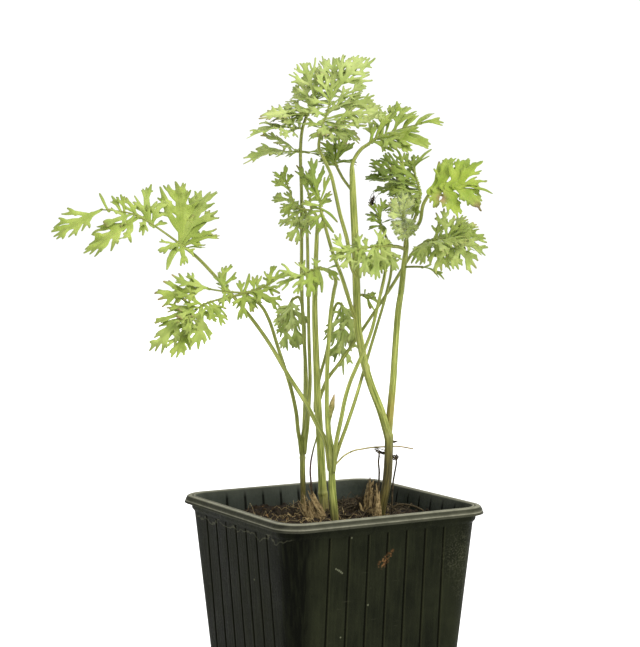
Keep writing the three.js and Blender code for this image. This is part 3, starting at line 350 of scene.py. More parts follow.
STEMS = {
  "stem_left": [
    [[-11, 24, STEM_FOOT_Z, 1.1], [-11, 24, 90, 1.1], [-11.3, 22, 103, 1.1], [-11.3, 21.5, 107.2, 1.1],
      [-11.3, 21.4, 108.4, 1.5], [-11.3, 21.2, 109.6, 1.1], [-11.2, 20.5, 117, 1.3]],
  ],
  "stem_front": [
    [[1.4, -12, STEM_FOOT_Z, 1.5], [1.4, -12, 88, 1.5], [0.4, -11.5, 100, 1.4], [0.2, -11, 111, 1.4],
      [0.3, -11, 112.5, 1.9], [0, -11, 114, 1.5], [-0.6, -11.5, 118.5, 1.2]],
  ],
  "stem_tall": [
    [[-2.6, 5, STEM_FOOT_Z, 1.9], [-2.6, 5, 88, 1.9], [-3, 6, 95.2, 1.8], [-3.2, 6, 96.5, 2.2],
      [-3.3, 6, 97.8, 1.7], [-4, 6, 113, 1.5], [-5.2, 5, 133, 1.4], [-5.6, 4, 145, 1.3],
      [-6.3, 3, 168, 1.1], [-6, 2, 184, 0.9], [-5.3, 0.5, 202, 0.8]],
  ],
  "stem_right": [
    [[18.8, 2, STEM_FOOT_Z, 1.7], [19.2, 2, 88, 1.7], [21.7, 2, 102, 1.8], [22.4, 2, 117.8, 1.7],
      [22.3, 2, 119.3, 2.1], [21.8, 2, 120.8, 1.7], [19.2, 1, 129.4, 1.6], [15.5, 0, 139, 1.5],
      [13.6, -1, 145, 1.5], [13.3, -1, 146.4, 1.9], [12.8, -1.4, 147.8, 1.5], [11.8, -2, 153, 1.5],
      [10.3, -3, 161, 1.5], [9.8, -4, 172, 1.5], [9.1, -5, 195, 1.4], [8.3, -5, 211, 1.3],
      [7.9, -4, 224, 1.1]],
    [[22.2, 2, 118.5, 1.3], [22.9, 3, 128, 1.4], [24.1, 4, 141, 1.3], [24.8, 4, 152.5, 1.2],
      [26, 4, 168, 1.2], [27.1, 3, 176, 1.1], [28.2, 2, 187, 1], [29, 1, 193.5, 0.9], [28.6, 0, 199, 0.8]],
  ],
}
print("stems:", len(STEMS))

# %% [markdown]
# A leaf's petiole is a tube with its radius at both ends, and its blades grow from its end or along it.
# A blade lies about a plane that faces one way, and holds ribs with their leaflets. A leaflet is how far
# back from the rib's end it grows, its tip (across, back, up) and how many pairs of lobes it has. These
# points were placed one by one, because no rule says how a leaf hangs in one photo.

# %% The leaves' points
def one_blade(face, rib, leaflets):
    """The list of a leaf's blades where there is one blade, on one rib: the way that it faces, its rib and
    its leaflets."""
    return [{"face": face, "branches": [{"rib": rib, "leaflets": leaflets}]}]


LEAVES = {
  "leaf_far_left": {
    "petiole": [
      [-1.2, -10.6, 112.5], [-2.2, -9.5, 119], [-5.2, -8, 124.6], [-10.2, -6, 134], [-16, -3, 142.6],
      [-23.8, 1, 155.4], [-31.7, 5, 166], [-44.1, 9, 180], [-52.2, 8, 188.6], [-58, 6, 193.3],
    ],
    "radius": [1, 0.6],
    "blades": one_blade(
      [0.1, -0.7, 0.7],
      [
        [-55.5, 6.8, 191.2], [-58, 6, 193.3], [-64.8, 4, 198.4], [-70.6, 3, 202.3], [-75.5, 2, 205],
        [-82.8, 1, 206.5], [-88.5, 0, 206.9],
      ],
      [
        [0, -105.5, -7, 196.5, 3], [3, -89.5, 5, 213.5, 0], [8, -85, 6, 212.5, 1],
        [14, -80.5, 7, 211.5, 1], [20, -72, 12, 216, 2], [21, -64.5, 10, 210.5, 1], [12, -87, -4, 201, 1],
        [15, -91.5, -10, 190, 2], [17, -72, -3, 197, 1], [34, -61.5, 20, 218.5, 3],
        [34, -47.5, 20, 214.5, 2], [35, -44.5, 13, 206.5, 2], [35.5, -43, 5, 197, 2],
        [33, -65.5, -4, 190.5, 1], [34, -62.5, -8, 184, 0], [34.5, -56, -4, 186, 1],
      ],
    ),
  },
  "leaf_low_left": {
    "petiole": [
      [-12.3, 20.2, 114.5], [-13.1, 18.8, 120], [-13.7, 17.4, 126.5], [-15.6, 15, 136], [-18.2, 12, 145],
      [-20.9, 8, 154], [-23.9, 4, 164], [-27, 0.5, 170], [-33.1, -4, 174.8],
    ],
    "radius": [0.9, 0.6],
    "blades": [{
      "face": [0, -0.7, 0.7],
      "branches": [
        {
          "rib": [
            [-31, -2.5, 173.2], [-33.1, -4, 174.8], [-40, -5, 175.6], [-47, -6, 176.8],
            [-51.7, -6, 178.4],
          ],
          "leaflets": [
            [0, -55, -3, 183, 1], [4, -66, -9, 172.6, 2], [11, -40.5, 3, 185.5, 1],
            [12, -43.5, 1, 183, 0], [18, -35.4, 0, 180, 1], [18.5, -31.5, 2, 182.5, 0],
            [12, -41, -10, 169.5, 1], [19, -34.2, -12, 165.5, 1], [20, -29.5, -9, 168, 1],
          ],
        },
        {
          "rib": [[-33.1, -4, 174.8], [-43.2, -7, 172.6], [-48.9, -8.5, 170.6], [-54, -10, 167]],
          "leaflets": [
            [5, -62.5, -11, 169.7, 1], [2, -66.5, -14, 164, 1], [0, -66, -19, 153.8, 2],
            [0.5, -57.8, -21, 151.5, 2], [6, -49.8, -19, 154.5, 2], [9, -40, -12, 163.5, 1],
          ],
        },
        {
          "rib": [[-33.1, -4, 174.8], [-27, -3, 177], [-22, -1, 179.6]],
          "leaflets": [
            [2, -22, 4, 185.5, 1], [1, -17.8, 2, 183, 1], [0, -14.6, 0, 182, 0], [7, -28.5, 2, 182, 1],
            [4, -19.5, -7, 175, 1], [9, -19.5, -10, 170.5, 2],
          ],
        },
      ],
    }],
  },
  "leaf_top_left": {
    "petiole": [
      [-11.2, 20.9, 116.8], [-10.6, 21, 120.5], [-9.6, 20.6, 127.4], [-9.8, 20, 139.4],
      [-10.6, 20, 155.3], [-11.5, 16, 175.4], [-11.5, 14, 211], [-11.9, 12, 230.7], [-11.1, 10, 238.5],
      [-9.1, 8, 244.2],
    ],
    "radius": [0.9, 0.6],
    "blades": [
      *one_blade(
        [0, -0.6, 0.8],
        [[-10, 9, 241.5], [-9.1, 8, 244.2], [-6.7, 7, 250]],
        [[0, -12.2, 16, 264.5, 3], [1, -6.2, 20, 263.5, 2], [5, -19, 12, 247, 2], [3, -15, 14, 255, 1]],
      ),
      *one_blade(
        [0.15, -0.25, 1],
        [[-9.1, 8, 244.2], [-12, 6, 243.8]],
        [[0, -27.7, -2, 241.5, 3], [1, -18, 14, 246, 1]],
      ),
      *one_blade(
        [0.2, -0.2, 1],
        [[-11.1, 10, 238.5], [-14, 8, 238.6]],
        [[0, -32.3, -3, 234, 3], [1, -19.5, -4, 235, 1]],
      ),
      *one_blade(
        [0.15, -0.3, 1],
        [[-8.5, 13.5, 229.3], [-11.9, 12, 229.7], [-15, 10.5, 229.4]],
        [[0, -33.8, 1, 224.4, 3], [6, 2, 16, 228, 2], [3, -22, 21, 228, 1]],
      ),
    ],
  },
  "leaf_top_right": {
    "petiole": [
      [9.6, -4.6, 180], [7.4, -8.5, 186], [5.9, -11, 195.3], [3.2, -12, 205], [1.3, -11, 213.6],
      [-0.2, -9, 220], [-2.9, -6, 226], [-4.8, -3, 230.8], [-3.6, -1, 238],
    ],
    "radius": [0.9, 0.6],
    "blades": one_blade(
      [0, -0.7, 0.7],
      [[-4.2, -2, 234.5], [-3.6, -1, 238], [-1.3, 3, 245], [-0.1, 6, 251]],
      [
        [0, 1, 19, 267, 3], [2, -3.4, 15, 261, 1], [1, 14, 13, 266.5, 3], [2, 8, 15, 264, 1],
        [5, 13, 2, 254.5, 1], [7, 17, -3, 247, 3], [11, 21.4, -6, 243.4, 2], [14, 13.5, -9, 238.5, 2],
        [13, -1.8, -8, 234.5, 1], [9, -8.4, -3, 243.5, 1],
      ],
    ),
  },
  "leaf_mid_left": {
    "petiole": [
      [-10, 19.4, 114.8], [-9.3, 18, 121], [-8.6, 16, 131.8], [-8.2, 14.5, 139.7], [-8.6, 13, 155.6],
      [-8.9, 12.5, 175.4], [-9.2, 12, 195], [-9.6, 11, 205.4],
    ],
    "radius": [0.9, 0.6],
    "blades": one_blade(
      [0.1, -0.75, 0.6],
      [[-9.5, 11, 203], [-9.6, 11, 205.4], [-11.5, 11.5, 208.5]],
      [
        [0, -19.8, 12, 207, 2], [1, -23, 16, 212.2, 3], [3, -15.4, 3, 194.7, 3], [2, -20, 6, 200.5, 1],
        [3.5, -7.6, 6, 199.5, 1],
      ],
    ),
  },
  "leaf_mid_upper": {
    "petiole": [[-5.3, 0.5, 202.6], [-6, 1, 205], [-7.6, 1.5, 206.5]],
    "radius": [0.6, 0.55],
    "blades": [{
      "face": [0.1, -0.75, 0.6],
      "branches": [
        {
          "rib": [
            [-6.4, 1.1, 205.6], [-7.6, 1.5, 206.5], [-13.5, 3, 208], [-16, 5, 214], [-17.8, 8, 219],
          ],
          "leaflets": [
            [0, -17.6, 8, 224.5, 2], [1, -22.8, 6, 221.7, 1], [4, -23.2, 5, 218, 1],
            [10, -18.5, 1, 204, 1],
          ],
        },
        {
          "rib": [[-7.6, 1.5, 206.5], [-8.4, 4, 211.5], [-9.5, 7, 216]],
          "leaflets": [[0, -13.4, 8, 224.4, 2], [1, -8.7, 8, 222.5, 2], [5, -4, 8, 214.5, 1]],
        },
      ],
    }],
  },
  "leaf_mid_dark": {
    "petiole": [
      [10.1, -3.2, 163], [8, -5.7, 168.5], [5.6, -8, 176.2], [3.7, -9.5, 182], [0.4, -13.3, 190.7],
      [-2, -14, 199], [-3.9, -13.5, 206],
    ],
    "radius": [0.9, 0.6],
    "blades": one_blade(
      [0, -0.8, 0.6],
      [[-3.3, -13.7, 203.5], [-3.9, -13.5, 206], [-4.4, -12, 211]],
      [
        [0, -7.6, -10, 226.5, 3], [1, -0.6, -15, 220.5, 2], [4, 2.4, -15, 202, 0],
        [6, 0.8, -18.5, 198, 0], [6, -8, -18.5, 199, 1], [3, -11.5, -13, 209, 1],
      ],
    ),
  },
  "leaf_hang_left": {
    "petiole": [
      [-11, 22.2, 114.5], [-10.8, 23.6, 120], [-10.4, 25.5, 131], [-10.4, 27, 151], [-10.9, 27, 165],
      [-12.9, 26.5, 172.3], [-15.7, 26, 171.1],
    ],
    "radius": [0.8, 0.55],
    "blades": one_blade(
      [-0.5, -0.8, 0.2],
      [[-14.3, 26.3, 171.9], [-15.7, 26, 171.1], [-16.5, 27, 168]],
      [
        [1, -22.6, 26, 160.5, 1], [0, -20.3, 28, 156, 2], [0.5, -17.4, 27, 150.6, 2],
        [2, -12.6, 27, 151, 2],
      ],
    ),
  },
  "leaf_hang_right": {
    "petiole": [
      [-6.2, 6.2, 133], [-4.6, 9.6, 141], [-1.6, 12, 152], [0.4, 14, 165], [2.6, 14.5, 170.4],
      [4.4, 14.5, 169.8],
    ],
    "radius": [0.7, 0.55],
    "blades": one_blade(
      [0.3, -0.9, 0.2],
      [[3.4, 14.5, 170.3], [4.4, 14.5, 169.8], [5.4, 14.5, 167]],
      [[0, 8.4, 12, 153.4, 2], [0.5, 5, 14, 142, 2], [2, 1.2, 14, 147, 1], [2.5, 9.6, 17, 164, 1]],
    ),
  },
  "leaf_small_back": {
    "petiole": [[9.7, -4, 173], [12, 1, 174.2], [13.5, 3, 173.6]],
    "radius": [0.55, 0.5],
    "blades": one_blade(
      [0, -0.5, 0.9],
      [[12.6, 2, 174], [13.5, 3, 173.6], [14.2, 3.4, 173]],
      [[0, 18.6, 6, 171.4, 1], [1, 16.4, -1, 168.4, 0], [1.5, 13.6, 9, 176, 0]],
    ),
  },
  "leaf_right_upper": {
    "petiole": [[7.9, -4, 223.5], [9, -3.4, 226.5], [11.5, -2, 230], [14.2, -1, 231.9]],
    "radius": [0.85, 0.65],
    "blades": one_blade(
      [-0.1, -0.7, 0.7],
      [
        [12.8, -1.4, 231], [14.2, -1, 231.9], [16.9, 0, 233.8], [22.8, 2, 236.4], [28.7, 3, 238.4],
        [34.6, 4, 240],
      ],
      [
        [0, 43.4, 4, 240.4, 1], [2, 40, 9, 244.4, 0], [11, 29.6, 12, 247.4, 1], [15, 25, 12, 248, 1],
        [18, 21, 12, 243.4, 2], [7, 34, 9, 243.6, 0], [10, 33.8, -1, 236.6, 0], [13, 36, -4, 233.6, 0],
        [17, 37, -8, 230.8, 1], [19, 30.2, -9, 228.8, 2], [20.5, 23.6, -9, 228.6, 1],
        [21, 14.5, 8, 241, 1],
      ],
    ),
  },
  "leaf_centre_dark": {
    "petiole": [[8.2, -5, 213], [4.4, 1, 219], [1.4, 5, 225]],
    "radius": [0.6, 0.55],
    "blades": one_blade(
      [0.1, -0.6, 0.8],
      [[2, 4.2, 223.8], [1.4, 5, 225], [1.8, 7, 227.5]],
      [[1, -4.2, 8, 233.2, 1], [0, 1.4, 14, 236.6, 1], [3, -5, 4, 225.4, 1], [1, 7.4, 14, 237.6, 2]],
    ),
  },
  "leaf_right_dark": {
    "petiole": [[28.8, 0.8, 196], [31, 4.5, 200.5], [32.9, 6, 205], [34.6, 9, 213]],
    "radius": [0.75, 0.6],
    "blades": one_blade(
      [0, -0.7, 0.7],
      [[34, 8, 210], [34.6, 9, 213], [33.2, 11, 219], [32, 13, 224.4]],
      [
        [0, 39.6, 17, 231, 0], [1, 38.6, 14, 228.2, 0], [3, 28.6, 18, 229, 1], [6, 19.2, 17, 227.4, 2],
        [8, 14.6, 12, 224, 1], [10, 13, 8, 218.8, 2], [12, 23, 4, 213.4, 2], [13, 24.5, 0, 208.6, 1],
      ],
    ),
  },
  "leaf_right_bright": {
    "petiole": [
      [28.9, 0.6, 196], [31.6, -3, 199], [33.7, -6, 202.5], [34.7, -9.5, 208.7], [37.4, -12, 213.6],
    ],
    "radius": [0.8, 0.65],
    "blades": one_blade(
      [-0.1, -0.6, 0.8],
      [[36, -10.8, 211.2], [37.4, -12, 213.6], [42.9, -15, 215.2], [48.4, -17, 215.8]],
      [
        [11.5, 41.2, -3, 225.4, 0], [9, 45.8, -3, 226.8, 2], [4, 52.2, -6, 226.4, 3],
        [1, 56.4, -11, 225.2, 2], [0, 58, -19, 217.4, 1], [0.5, 59.6, -23, 212.6, 0],
        [2, 55, -27, 206, 1], [6, 46.4, -27, 203.8, 2], [10, 38.8, -22, 207.4, 1],
      ],
    ),
  },
  "leaf_right_low": {
    "petiole": [
      [-5, 5.1, 131], [-1.7, 8, 140.5], [3.5, 10, 147.4], [9.4, 11, 155.9], [15.3, 11, 164.6],
      [23.9, 10, 177.6], [29.5, 8, 187], [32.8, 2, 192], [37.1, -5, 195],
    ],
    "radius": [0.8, 0.6],
    "blades": one_blade(
      [-0.1, -0.7, 0.7],
      [[36, -3.4, 194.3], [37.1, -5, 195], [42.3, -8, 195.7], [47.1, -10, 196.1]],
      [
        [2, 50.4, -1, 205, 2], [8, 42.4, -1, 203.8, 1], [0.5, 55.4, -5, 201.4, 2],
        [0, 58.4, -11, 195.8, 2], [0.5, 57.8, -15.5, 189.6, 2], [2.5, 54, -19, 184.8, 2],
        [5, 47.4, -19, 184.4, 2], [9, 41.2, -16, 183.8, 2], [11.5, 33.4, -12, 186, 1],
      ],
    ),
  },
  "leaf_centre": {
    "petiole": [[28.6, 1.4, 191], [26, -3.5, 192.6], [22.4, -8, 193]],
    "radius": [0.8, 0.65],
    "blades": one_blade(
      [0, -0.75, 0.65],
      [
        [24.4, -5.5, 192.9], [22.4, -8, 193], [15.3, -14, 192.7], [8.8, -18.5, 191.6],
        [4.2, -20.5, 191.4],
      ],
      [
        [0, -0.8, -24, 187.4, 1], [1, 1, -17, 197.6, 1], [7, 9.6, -12, 198, 1], [17, 19, -5, 199.4, 1],
        [3, 4.2, -27, 184.8, 1], [8, 12, -25, 182, 2], [13, 16.4, -22, 180.6, 1], [17, 20, -18, 184.4, 1],
        [20, 24.4, -14, 183.8, 2],
      ],
    ),
  },
  "leaf_mid_low": {
    "petiole": [
      [-0.6, -11.5, 117], [-1.4, -12, 123.3], [-1.7, -12, 142.3], [-1, -12.5, 157.4], [-0.2, -13, 168.8],
      [1, -13.8, 176.4], [1.6, -14.8, 180.2], [-0.4, -16.5, 183.7], [-4.4, -17.5, 184.8],
    ],
    "radius": [0.95, 0.6],
    "blades": one_blade(
      [0, -0.6, 0.8],
      [[-2.4, -17, 184.4], [-4.4, -17.5, 184.8], [-8.9, -18, 183.3], [-12.7, -18, 181.4]],
      [
        [0, -21, -19, 177.2, 1], [2, -12.5, -26, 175.4, 1], [6, -8, -26, 174.4, 1],
        [8, -3.6, -24, 176, 0], [9.5, 3, -21, 180.4, 1], [4, -12.4, -11, 187, 1], [8, -6, -12, 188.6, 1],
      ],
    ),
  },
  "leaf_under_centre": {
    "petiole": [
      [1.2, -13, 112], [1.7, -13, 118], [3.8, -13.5, 128.4], [5.1, -13.5, 135.1], [7, -13, 141.5],
      [10, -12, 148.5], [12, -11.5, 152.8], [15.2, -11, 161.1], [17.6, -10.5, 170.8], [20, -9, 181],
      [20.6, -7.6, 184.5],
    ],
    "radius": [0.9, 0.6],
    "blades": one_blade(
      [0, -0.9, 0.4],
      [[20.4, -8.2, 182.8], [20.6, -7.6, 184.5], [20.6, -7, 186]],
      [[0, 20.4, -5.4, 193, 1], [1, 16.2, -6.4, 187.4, 1], [1.4, 25, -5.4, 189, 1]],
    ),
  },
  "leaf_dark_small": {
    "petiole": [
      [1.6, -10.6, 112], [2.8, -10.6, 116.4], [5.8, -9, 124.6], [8.4, -6, 131.8], [10.6, -2, 138.3],
      [12.2, 2, 143.2], [14.7, 4, 151.6], [17.3, 5, 160.2], [21.6, 4, 175.5], [23.2, 1, 185.2],
      [21.5, -1, 195], [18.8, -1, 201],
    ],
    "radius": [0.8, 0.5],
    "blades": one_blade(
      [0.2, -0.7, 0.7],
      [[19.1, -1.2, 199], [18.8, -1, 201], [18.4, 0, 204.6]],
      [[0, 14.4, 4, 210, 1], [2, 13.4, -3, 203, 1], [0.5, 21.4, 5, 211, 1], [3, 24, -2, 203.4, 1]],
    ),
  },
  "shoot_tip": {
    "petiole": [[28.6, 0, 198.6], [28, -3, 201], [27.4, -4.5, 205]],
    "radius": [0.8, 0.7],
    "blades": one_blade(
      [0, -0.9, 0.4],
      [[27.8, -3.5, 202.5], [27.4, -4.5, 205], [27.2, -4.5, 206.5]],
      [
        [0, 22.4, -3, 211.4, 1], [0, 27, -2, 214, 1], [0, 31.6, -4, 210.8, 1], [2, 21.4, -7, 204.6, 1],
        [3, 30.8, -10, 202, 1], [4, 24, -9, 197.4, 1],
      ],
    ),
  },
  "leaflet_low_right": {
    "petiole": [[28.4, 2, 184.5], [31, -0.5, 185], [35, -3, 185]],
    "radius": [0.45, 0.42],
    "blades": one_blade(
      [0, -0.5, 0.85],
      [[33.6, -2.2, 185], [35, -3, 185], [36, -3.5, 184.8]],
      [[0, 43, -7, 180.4, 1], [1, 38.6, 1, 186, 0]],
    ),
  },
}
print("leaves:", len(LEAVES))

# %% [markdown]
# Dry pieces are thin stalks and roots, each a list of points and its radius at both ends, and the torn
# sheaths round the foot of a stem. A sheath is a few strips, each its foot (across, back) and its tip
# (across, back, up).

# %% The dry pieces' points
DRY_STALKS = {
  "petiole_stub": {
    "radius": [0.8, 0.4],
    "route": [[0.6, -9.2, 115.4], [-0.6, -8, 121.5], [-0.9, -7.8, 127], [0.2, -7.8, 132.3], [1.2, -8, 136.8]],
  },
  "dry_root_arched": {
    "radius": [0.5, 0.4],
    "route": [[1.3, -11, 109.8], [4.6, -8, 112.8], [8.1, -5, 114.4], [11.6, -1, 114.7], [17, 4, 114.8],
      [20.9, 6.5, 114.6], [25.8, 7.5, 114.7], [32.1, 8, 113.7]],
  },
  "dry_twig_left": {
    "radius": [0.5, 0.4],
    "route": [[-6.4, -4, 84], [-7, -4.5, 95], [-7.7, -5, 101.5], [-8, -5, 107.4], [-7.6, -5, 111.5],
      [-6.8, -5, 115.3], [-5.4, -5, 120.2]],
  },
  "dry_twig_right": {
    "radius": [0.5, 0.4],
    "route": [[17.2, -2, 84], [18, -2.6, 97], [18.5, -2.6, 105.2], [18.2, -2.4, 110], [18.4, -2.2, 113.5],
      [17.2, -2.4, 114.6]],
  },
  "dry_twig_hooked": {
    "radius": [0.45, 0.4],
    "route": [[23.4, -1.4, 84], [23.6, -1.8, 97], [24, -2, 102.5], [25.1, -2.4, 110], [24.6, -2.4, 112.4]],
  },
  "dry_runner": {
    "radius": [0.5, 0.45],
    "route": [[21.6, -3.4, 84], [22.4, -3.6, 91], [25.5, -4.2, 93.4], [28.7, -5, 93.8], [32.2, -6.4, 93.2],
      [34.9, -7.4, 92], [37.2, -8, 90], [38.4, -8.4, 84.5]],
  },
}

SHEATHS = {
  "dry_sheath_left": [
    [-1.6, -8.6, -8.6, -3.4, 101.5], [-3.2, -8.4, -7.2, -5.6, 97], [-4.8, -7.6, -9.8, -3.8, 96.5],
    [-6.4, -7, -7.6, -6.4, 98], [-8, -6.2, -11.8, -5, 94.8], [-9.4, -5.2, -10.6, -3, 97.5],
  ],
  "dry_sheath_right": [
    [15.4, -1.4, 16.4, -0.6, 103], [16.6, -3.6, 17.4, -3.4, 102], [14.4, 0, 13.4, 1, 98],
    [18, -4.4, 18.6, -4.6, 99], [13.4, 1.4, 15.2, 2, 103.5],
  ],
}
print("dry pieces:", len(DRY_STALKS) + len(SHEATHS))

# %% [markdown]
# A stem is a tube whose thickness changes along it, with a ring at each node where a leaf or a branch
# starts. A modelling tool would sweep a circle; here the sweep is written out, because a mugwort stem
# isn't round: fine ridges run up it. Its skin is yellow green, paler at the rings, olive and brown near
# the soil. The streaks follow the stem, so they read the marks round and along it.

# %% The look of the stems
STREAK_SCALE = (1.3, 1.3, 0.035)

stem_finish, tree, shader, where = finish_of("ridged_stem", 0.5, 0.35)
wrap = add(tree, "Attribute", attribute_name="wrap").outputs["Vector"]
along = add(tree, "Mapping", [("Vector", wrap), ("Scale", STREAK_SCALE)]).outputs[0]
streaks = spread(tree, grain(tree, along, 3.0, 4.0, 0.6), 0.38, 0.6)
skin = mixed(tree, streaks, ink(96, 112, 28), ink(174, 180, 92))
skin = mixed(tree, spread(tree, grain(tree, where, 90), 0.45, 0.75, 0.0, 0.55), skin, ink(124, 128, 56))
skin = mixed(tree, mark(tree, "blush"), skin, ink(146, 122, 52))
skin = mixed(tree, mark(tree, "ring"), skin, ink(164, 164, 100))
olive = mixed(tree, streaks, ink(62, 58, 26), ink(108, 98, 48))
skin = mixed(tree, mark(tree, "earth"), skin, olive)
coloured(tree, shader, skin)
bumped(tree, shader, streaks, 0.2 * MM)

# %% Helpers for the stems
RING_STANDS_OUT = 0.2
EASED_FROM, EASED_BY = 0.15, 0.6


def ridges(t, a):
    """A stem's outline: 1 + 0.04 cos 8a + 0.015 cos(19a + 3t), its ridges running up it."""
    return 1 + 0.04 * np.cos(8 * a) + 0.015 * np.cos(19 * a + 3 * t)


def ring_points(branch):
    """The points of a stem that are 0.2 mm thicker than both neighbours."""
    p = np.asarray(branch, float)
    r = p[:, 3]
    bulge = (r[1:-1] > r[:-2] + RING_STANDS_OUT) & (r[1:-1] > r[2:] + RING_STANDS_OUT)
    return place(p[1:-1][bulge])


def eased(branch):
    """A stem's radii with its rings flattened: where one is thicker than both neighbours, 0.6 of what
    it has over their mean goes."""
    r = np.asarray(branch, float)[:, 3].copy()
    between = (r[:-2] + r[2:]) / 2
    over = np.minimum(r[1:-1] - r[:-2], r[1:-1] - r[2:]) > EASED_FROM
    r[1:-1] -= EASED_BY * (r[1:-1] - between) * over
    return r


def near(points, centres, reach):
    """exp(-(d / reach)^2) with d the distance to the nearest centre, or 0 if there is none."""
    if len(centres) == 0:
        return np.zeros(len(points))
    d = np.linalg.norm(points[:, None] - np.asarray(centres)[None], axis=2).min(1)
    return np.exp(-((d / reach) ** 2))


def fading(points, height, span):
    """1 below the height, falling to 0 over the span above it: 1 / (1 + exp((z - height) / span))."""
    return 1 / (1 + np.exp((points[:, 2] - height) / span))


# %% The four stems
STEM_STEPS, STEM_ROUND = 8, 40
END_THINNER, END_SPAN = 0.45, 3.0
RING_MARK, RING_REACH = 0.75, 1.8
EARTHY_UP_TO = {"stem_left": 101, "stem_front": 94, "stem_tall": 97, "stem_right": 119}
EARTH_SPAN, EARTH_OFF_RINGS = 2.5, 0.7
SCAR, SCAR_MARK, SCAR_REACH = [23.4, 3.4, 129], 0.6, 7.0

for name, branches in STEMS.items():
    bodies = []
    for branch in branches:
        route = smooth_route(np.column_stack([place(branch), eased(branch)]), STEM_STEPS)
        to_end = np.linalg.norm(route[:, :3] - route[-1, :3], axis=1)
        radius = route[:, 3] * (1 - END_THINNER * np.exp(-to_end / END_SPAN))
        points, faces, marks = stalk(route[:, :3], radius, STEM_ROUND, ridges)
        marks["ring"] = RING_MARK * near(points, ring_points(branches[0]), RING_REACH)
        low_part = fading(points, EARTHY_UP_TO[name], EARTH_SPAN)
        marks["earth"] = low_part * (1 - EARTH_OFF_RINGS * marks["ring"])
        marks["blush"] = SCAR_MARK * near(points, place([SCAR]), SCAR_REACH) * (branch is branches[-1])
        bodies.append((points, faces, marks))
    points, faces, marks = gathered(bodies)
    piece(name.replace("stem", "stalk"), points, faces, stem_finish, [name], "stem_green", marks)

# %% [markdown]
# Seen close, a mugwort leaflet is a stalk that widens into a web, with blunt fingers that lean forward
# and round notches between them. An outline drawn by hand would need hundreds of points. Here every
# finger is a line with a width, called a spine, and the leaflet is wherever those widths flow together.

# %% The spines of a leaflet
FOOT_SUNK = 0.6
SPINE_POINTS = 7
TIP_HALF = 0.36
BOW = 0.06
LONE_HALVES, WEB_HALVES, FINGER_HALVES = (0.5, 1.5), (0.65, 3.2), (0.58, 1.3)
FINGERS_END, OTHER_SIDE_LATER, ONLY_FINGER_AT = 0.62, 0.06, 0.4
LEAN_LOST, LEAN_DRAWN, REACH_LOST, REACH_DRAWN = 16, 6, 0.16, (0.85, 1.15)
TOOTH_SPLAY = (26, 38)
MIDDLE_VEIN, FINGER_VEIN, TOOTH_VEIN, LONE_VEIN = 1.0, 0.55, 0.3, 0.8


def spine(root, tip, bend, halves):
    """A line root + s (tip - root), bowed sideways by 4 bend s (1 - s), with a half width read off the
    given values, which lie evenly along it. Each row is x, y and the half width."""
    s = np.linspace(0, 1, SPINE_POINTS)[:, None]
    step = tip - root
    line = root + s * step + 4 * bend * s * (1 - s) * np.array([-step[1], step[0]])
    return np.column_stack([line, np.interp(s[:, 0], np.linspace(0, 1, len(halves)), halves)])


def leaflet_spines(length, pairs, cut, rng):
    """All spines of a leaflet that runs along x from 0 to its length, and how strong each one's vein is.
    The middle one widens from its stalk into a web. Fingers leave it at even steps, lean forward and
    taper, the first ones longest, and the longer ones carry a tooth or two."""
    start, end = np.array([-FOOT_SUNK, 0.0]), np.array([length - TIP_HALF, 0.0])
    bow = rng.uniform(-BOW, BOW)
    if pairs == 0:
        half = np.clip(cut["lone"] * length, *LONE_HALVES)
        lone = spine(start, end, bow, [cut["foot"], 0.7 * half, half, half, TIP_HALF])
        return np.array([lone]), np.array([LONE_VEIN])
    web = np.clip(cut["web"] * length, *WEB_HALVES)
    finger = np.clip(cut["finger"] * length, *FINGER_HALVES)
    found = [spine(start, end, bow, [cut["foot"], 0.6 * web, web, 0.9 * web, finger, TIP_HALF])]
    strong = [MIDDLE_VEIN]
    reaching = FINGERS_END - cut["stalk"]
    count = 1 + int(reaching * length / cut["step"])
    for side, shift in ((1, 0.0), (-1, OTHER_SIDE_LATER)):
        for i in range(count):
            share = ONLY_FINGER_AT if count == 1 else i / (count - 1)
            lean = math.radians(cut["lean"] - LEAN_LOST * share + rng.uniform(-LEAN_DRAWN, LEAN_DRAWN))
            reach = length * (cut["reach"] - REACH_LOST * share) * rng.uniform(*REACH_DRAWN) - TIP_HALF
            direction = np.array([math.cos(lean), side * math.sin(lean)])
            root = np.array([(cut["stalk"] + shift + reaching * share) * length, 0.0])
            bend = side * rng.uniform(0.0, 2 * BOW)
            halves = [0.8 * finger, finger, 0.8 * finger, TIP_HALF]
            found.append(spine(root, root + reach * direction, bend, halves))
            strong.append(FINGER_VEIN)
            for tooth_side, from_share, long, least in cut["teeth"]:
                if reach > least:
                    splay = lean + tooth_side * math.radians(rng.uniform(*TOOTH_SPLAY))
                    base = root + from_share * reach * direction
                    point = base + long * reach * np.array([math.cos(splay), side * math.sin(splay)])
                    halves = [0.7 * finger, 0.7 * finger, 0.9 * TIP_HALF]
                    found.append(spine(base, point, BOW * side * tooth_side, halves))
                    strong.append(TOOTH_VEIN)
    return np.array(found), np.array(strong)


# %% [markdown]
# The outline is not drawn but found. A flat lattice of triangles is laid over the spines, the triangles
# outside the leaflet are cut away, and the rim of what is left is pulled onto the outline. A voxel
# remesh would do something like it, but it would lose the thin fingers and give far more faces.

# %% The area of a leaflet
SOFTNESS = 9.0
LATTICE = 0.4
ROW = math.sqrt(3) / 2
PULLS, FARTHEST_PULL = 3, 0.7 * LATTICE


